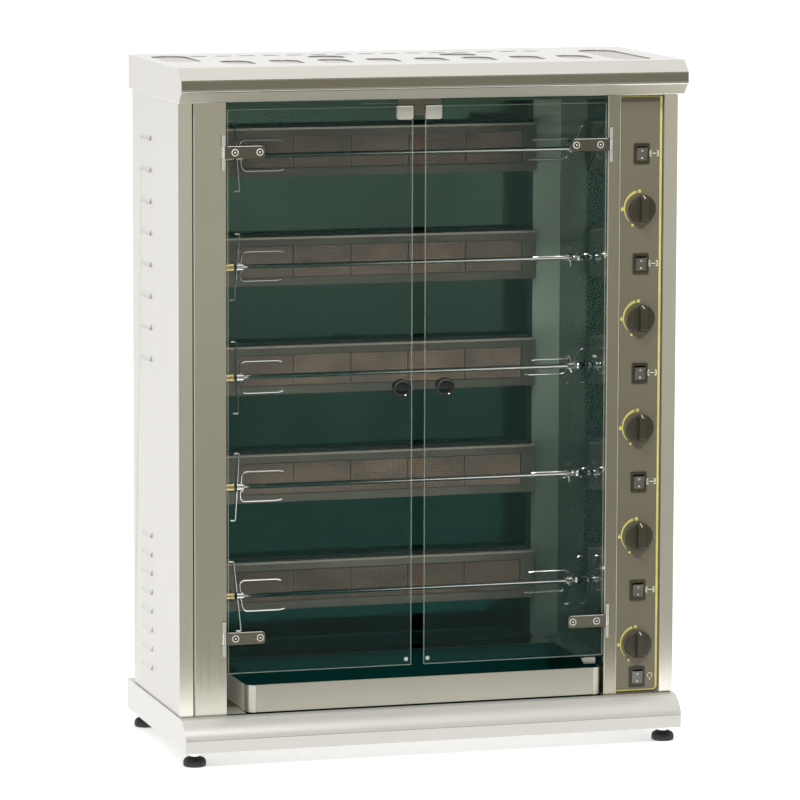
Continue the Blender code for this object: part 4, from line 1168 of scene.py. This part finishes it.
def make_world():
    """A white studio, greyer in front of the oven, and darker there for light that has bounced twice."""
    world = bpy.data.worlds.new("studio")
    bpy.context.scene.world = world
    world.use_nodes = True
    tree = world.node_tree
    direction = add_node(tree, "TexCoord", {}).outputs["Generated"]
    axes = add_node(tree, "SeparateXYZ", {"Vector": direction}).outputs
    height = between(tree, axes["Z"], 0, 1, (-1, 1))

    def room(stops):
        """Greys of the room in front, by height: -1 straight down, 0 the horizon, 1 straight up."""
        ramp = add_node(tree, "ValToRGB", {"Fac": height})
        while len(ramp.color_ramp.elements) < len(stops):
            ramp.color_ramp.elements.new(0.5)
        for element, (level, grey) in zip(ramp.color_ramp.elements, stops):
            element.position = (level + 1) / 2
            element.color = (grey, grey * 0.975, grey * 0.87, 1.0)
        return ramp.outputs["Color"]

    white = (1.0, 1.0, 1.0, 1.0)
    path = add_node(tree, "LightPath", {}).outputs
    below = [(-1.0, 0.50), (-0.80, 0.40), (-0.60, 0.14), (-0.30, 0.36), (-0.20, 0.50), (-0.14, 0.34)]
    below.append((-0.085, 0.80))
    plain = room(below + [(-0.03, 0.18), (0.07, 0.18), (0.14, 0.45), (0.38, 0.50), (0.62, 0.95)])
    dark = room(below + [(0.0, 0.40), (0.05, 0.08), (0.38, 0.12), (0.62, 0.95)])
    later = reckoned(tree, "GREATER_THAN", path["Ray Depth"], 1.5)
    ahead = between(tree, axes["Y"], 0, 1, (0.25, -0.70))
    ahead.node.interpolation_type = "SMOOTHSTEP"
    toned = mixed(tree, ahead, white, mixed(tree, later, plain, dark))
    seen = mixed(tree, path["Is Camera Ray"], toned, white)
    set_inputs(tree, tree.nodes["Background"], {"Color": seen, "Strength": 1.0})


def make_light(name, place, target, size, energy):
    """A rectangular lamp aimed at a target."""
    data = bpy.data.lights.new(name, "AREA")
    data.shape = "RECTANGLE"
    data.size, data.size_y = size
    data.energy = energy
    lamp = scratch(name, data)
    lamp.location = place
    lamp.rotation_mode = "QUATERNION"
    lamp.rotation_quaternion = (Vector(target) - Vector(place)).to_track_quat("-Z", "Y")
    return lamp


def make_camera():
    """Camera to the left of the oven's front and above it, far away with a long lens."""
    yaw, pitch, roll = math.radians(16.42), math.radians(7.708), 0.0031
    ahead = Vector((math.sin(yaw) * math.cos(pitch), math.cos(yaw) * math.cos(pitch), -math.sin(pitch)))
    right = Vector((math.cos(yaw), -math.sin(yaw), 0))
    up = right.cross(ahead)
    turned_right = right * math.cos(roll) + up * math.sin(roll)
    turned_up = up * math.cos(roll) - right * math.sin(roll)
    data = bpy.data.cameras.new("camera")
    data.lens = 229.0
    data.sensor_width = 36.0
    data.clip_end = 200.0
    camera = scratch("camera", data)
    turn = Matrix((turned_right, turned_up, -ahead)).transposed().to_4x4()
    camera.matrix_world = Matrix.Translation((-3.104, -10.511, 2.218)) @ turn
    bpy.context.scene.camera = camera


def make_studio():
    """Camera, floor, room and lamps. The lamps "controls" and "low" each light one piece only."""
    make_camera()
    make_floor()
    make_world()
    middle = (0, FRONT, 0.8)
    make_light("key", (-0.6, -2.2, 3.6), middle, (0.6, 0.6), 66)
    make_light("fill", (-3.2, -3.6, 1.8), middle, (2.0, 2.4), 10)
    for name, place, target, energy, lit in (
        ("controls", (0.46, -4.2, 4.0), (CONTROL_X, FRONT, 0.75), 250, "control_plate"),
        ("low", (-1.2, -4.6, 0.7), (-0.42, FRONT, 0.14), 170, "drip_tray_sides"),
    ):
        lamp = make_light(name, place, target, (0.3, 0.3), energy)
        only = bpy.data.collections.new(f"lit_by_{name}")
        only.objects.link(bpy.data.objects[lit])
        lamp.light_linking.receiver_collection = only
    view = bpy.context.scene.view_settings
    view.view_transform = "Standard"
    view.look = "None"


make_plinth()
make_feet()
make_hood()
make_tray()
make_floor_margins()
make_doors()
make_control_panel()
make_prints()
make_knobs()
make_switches()
make_burner_faces()
make_spits()
make_cavity()
make_cabinet()
make_panel_folds()
make_post_folds()
make_fixed_knuckles()
make_back_screws()
make_studio()
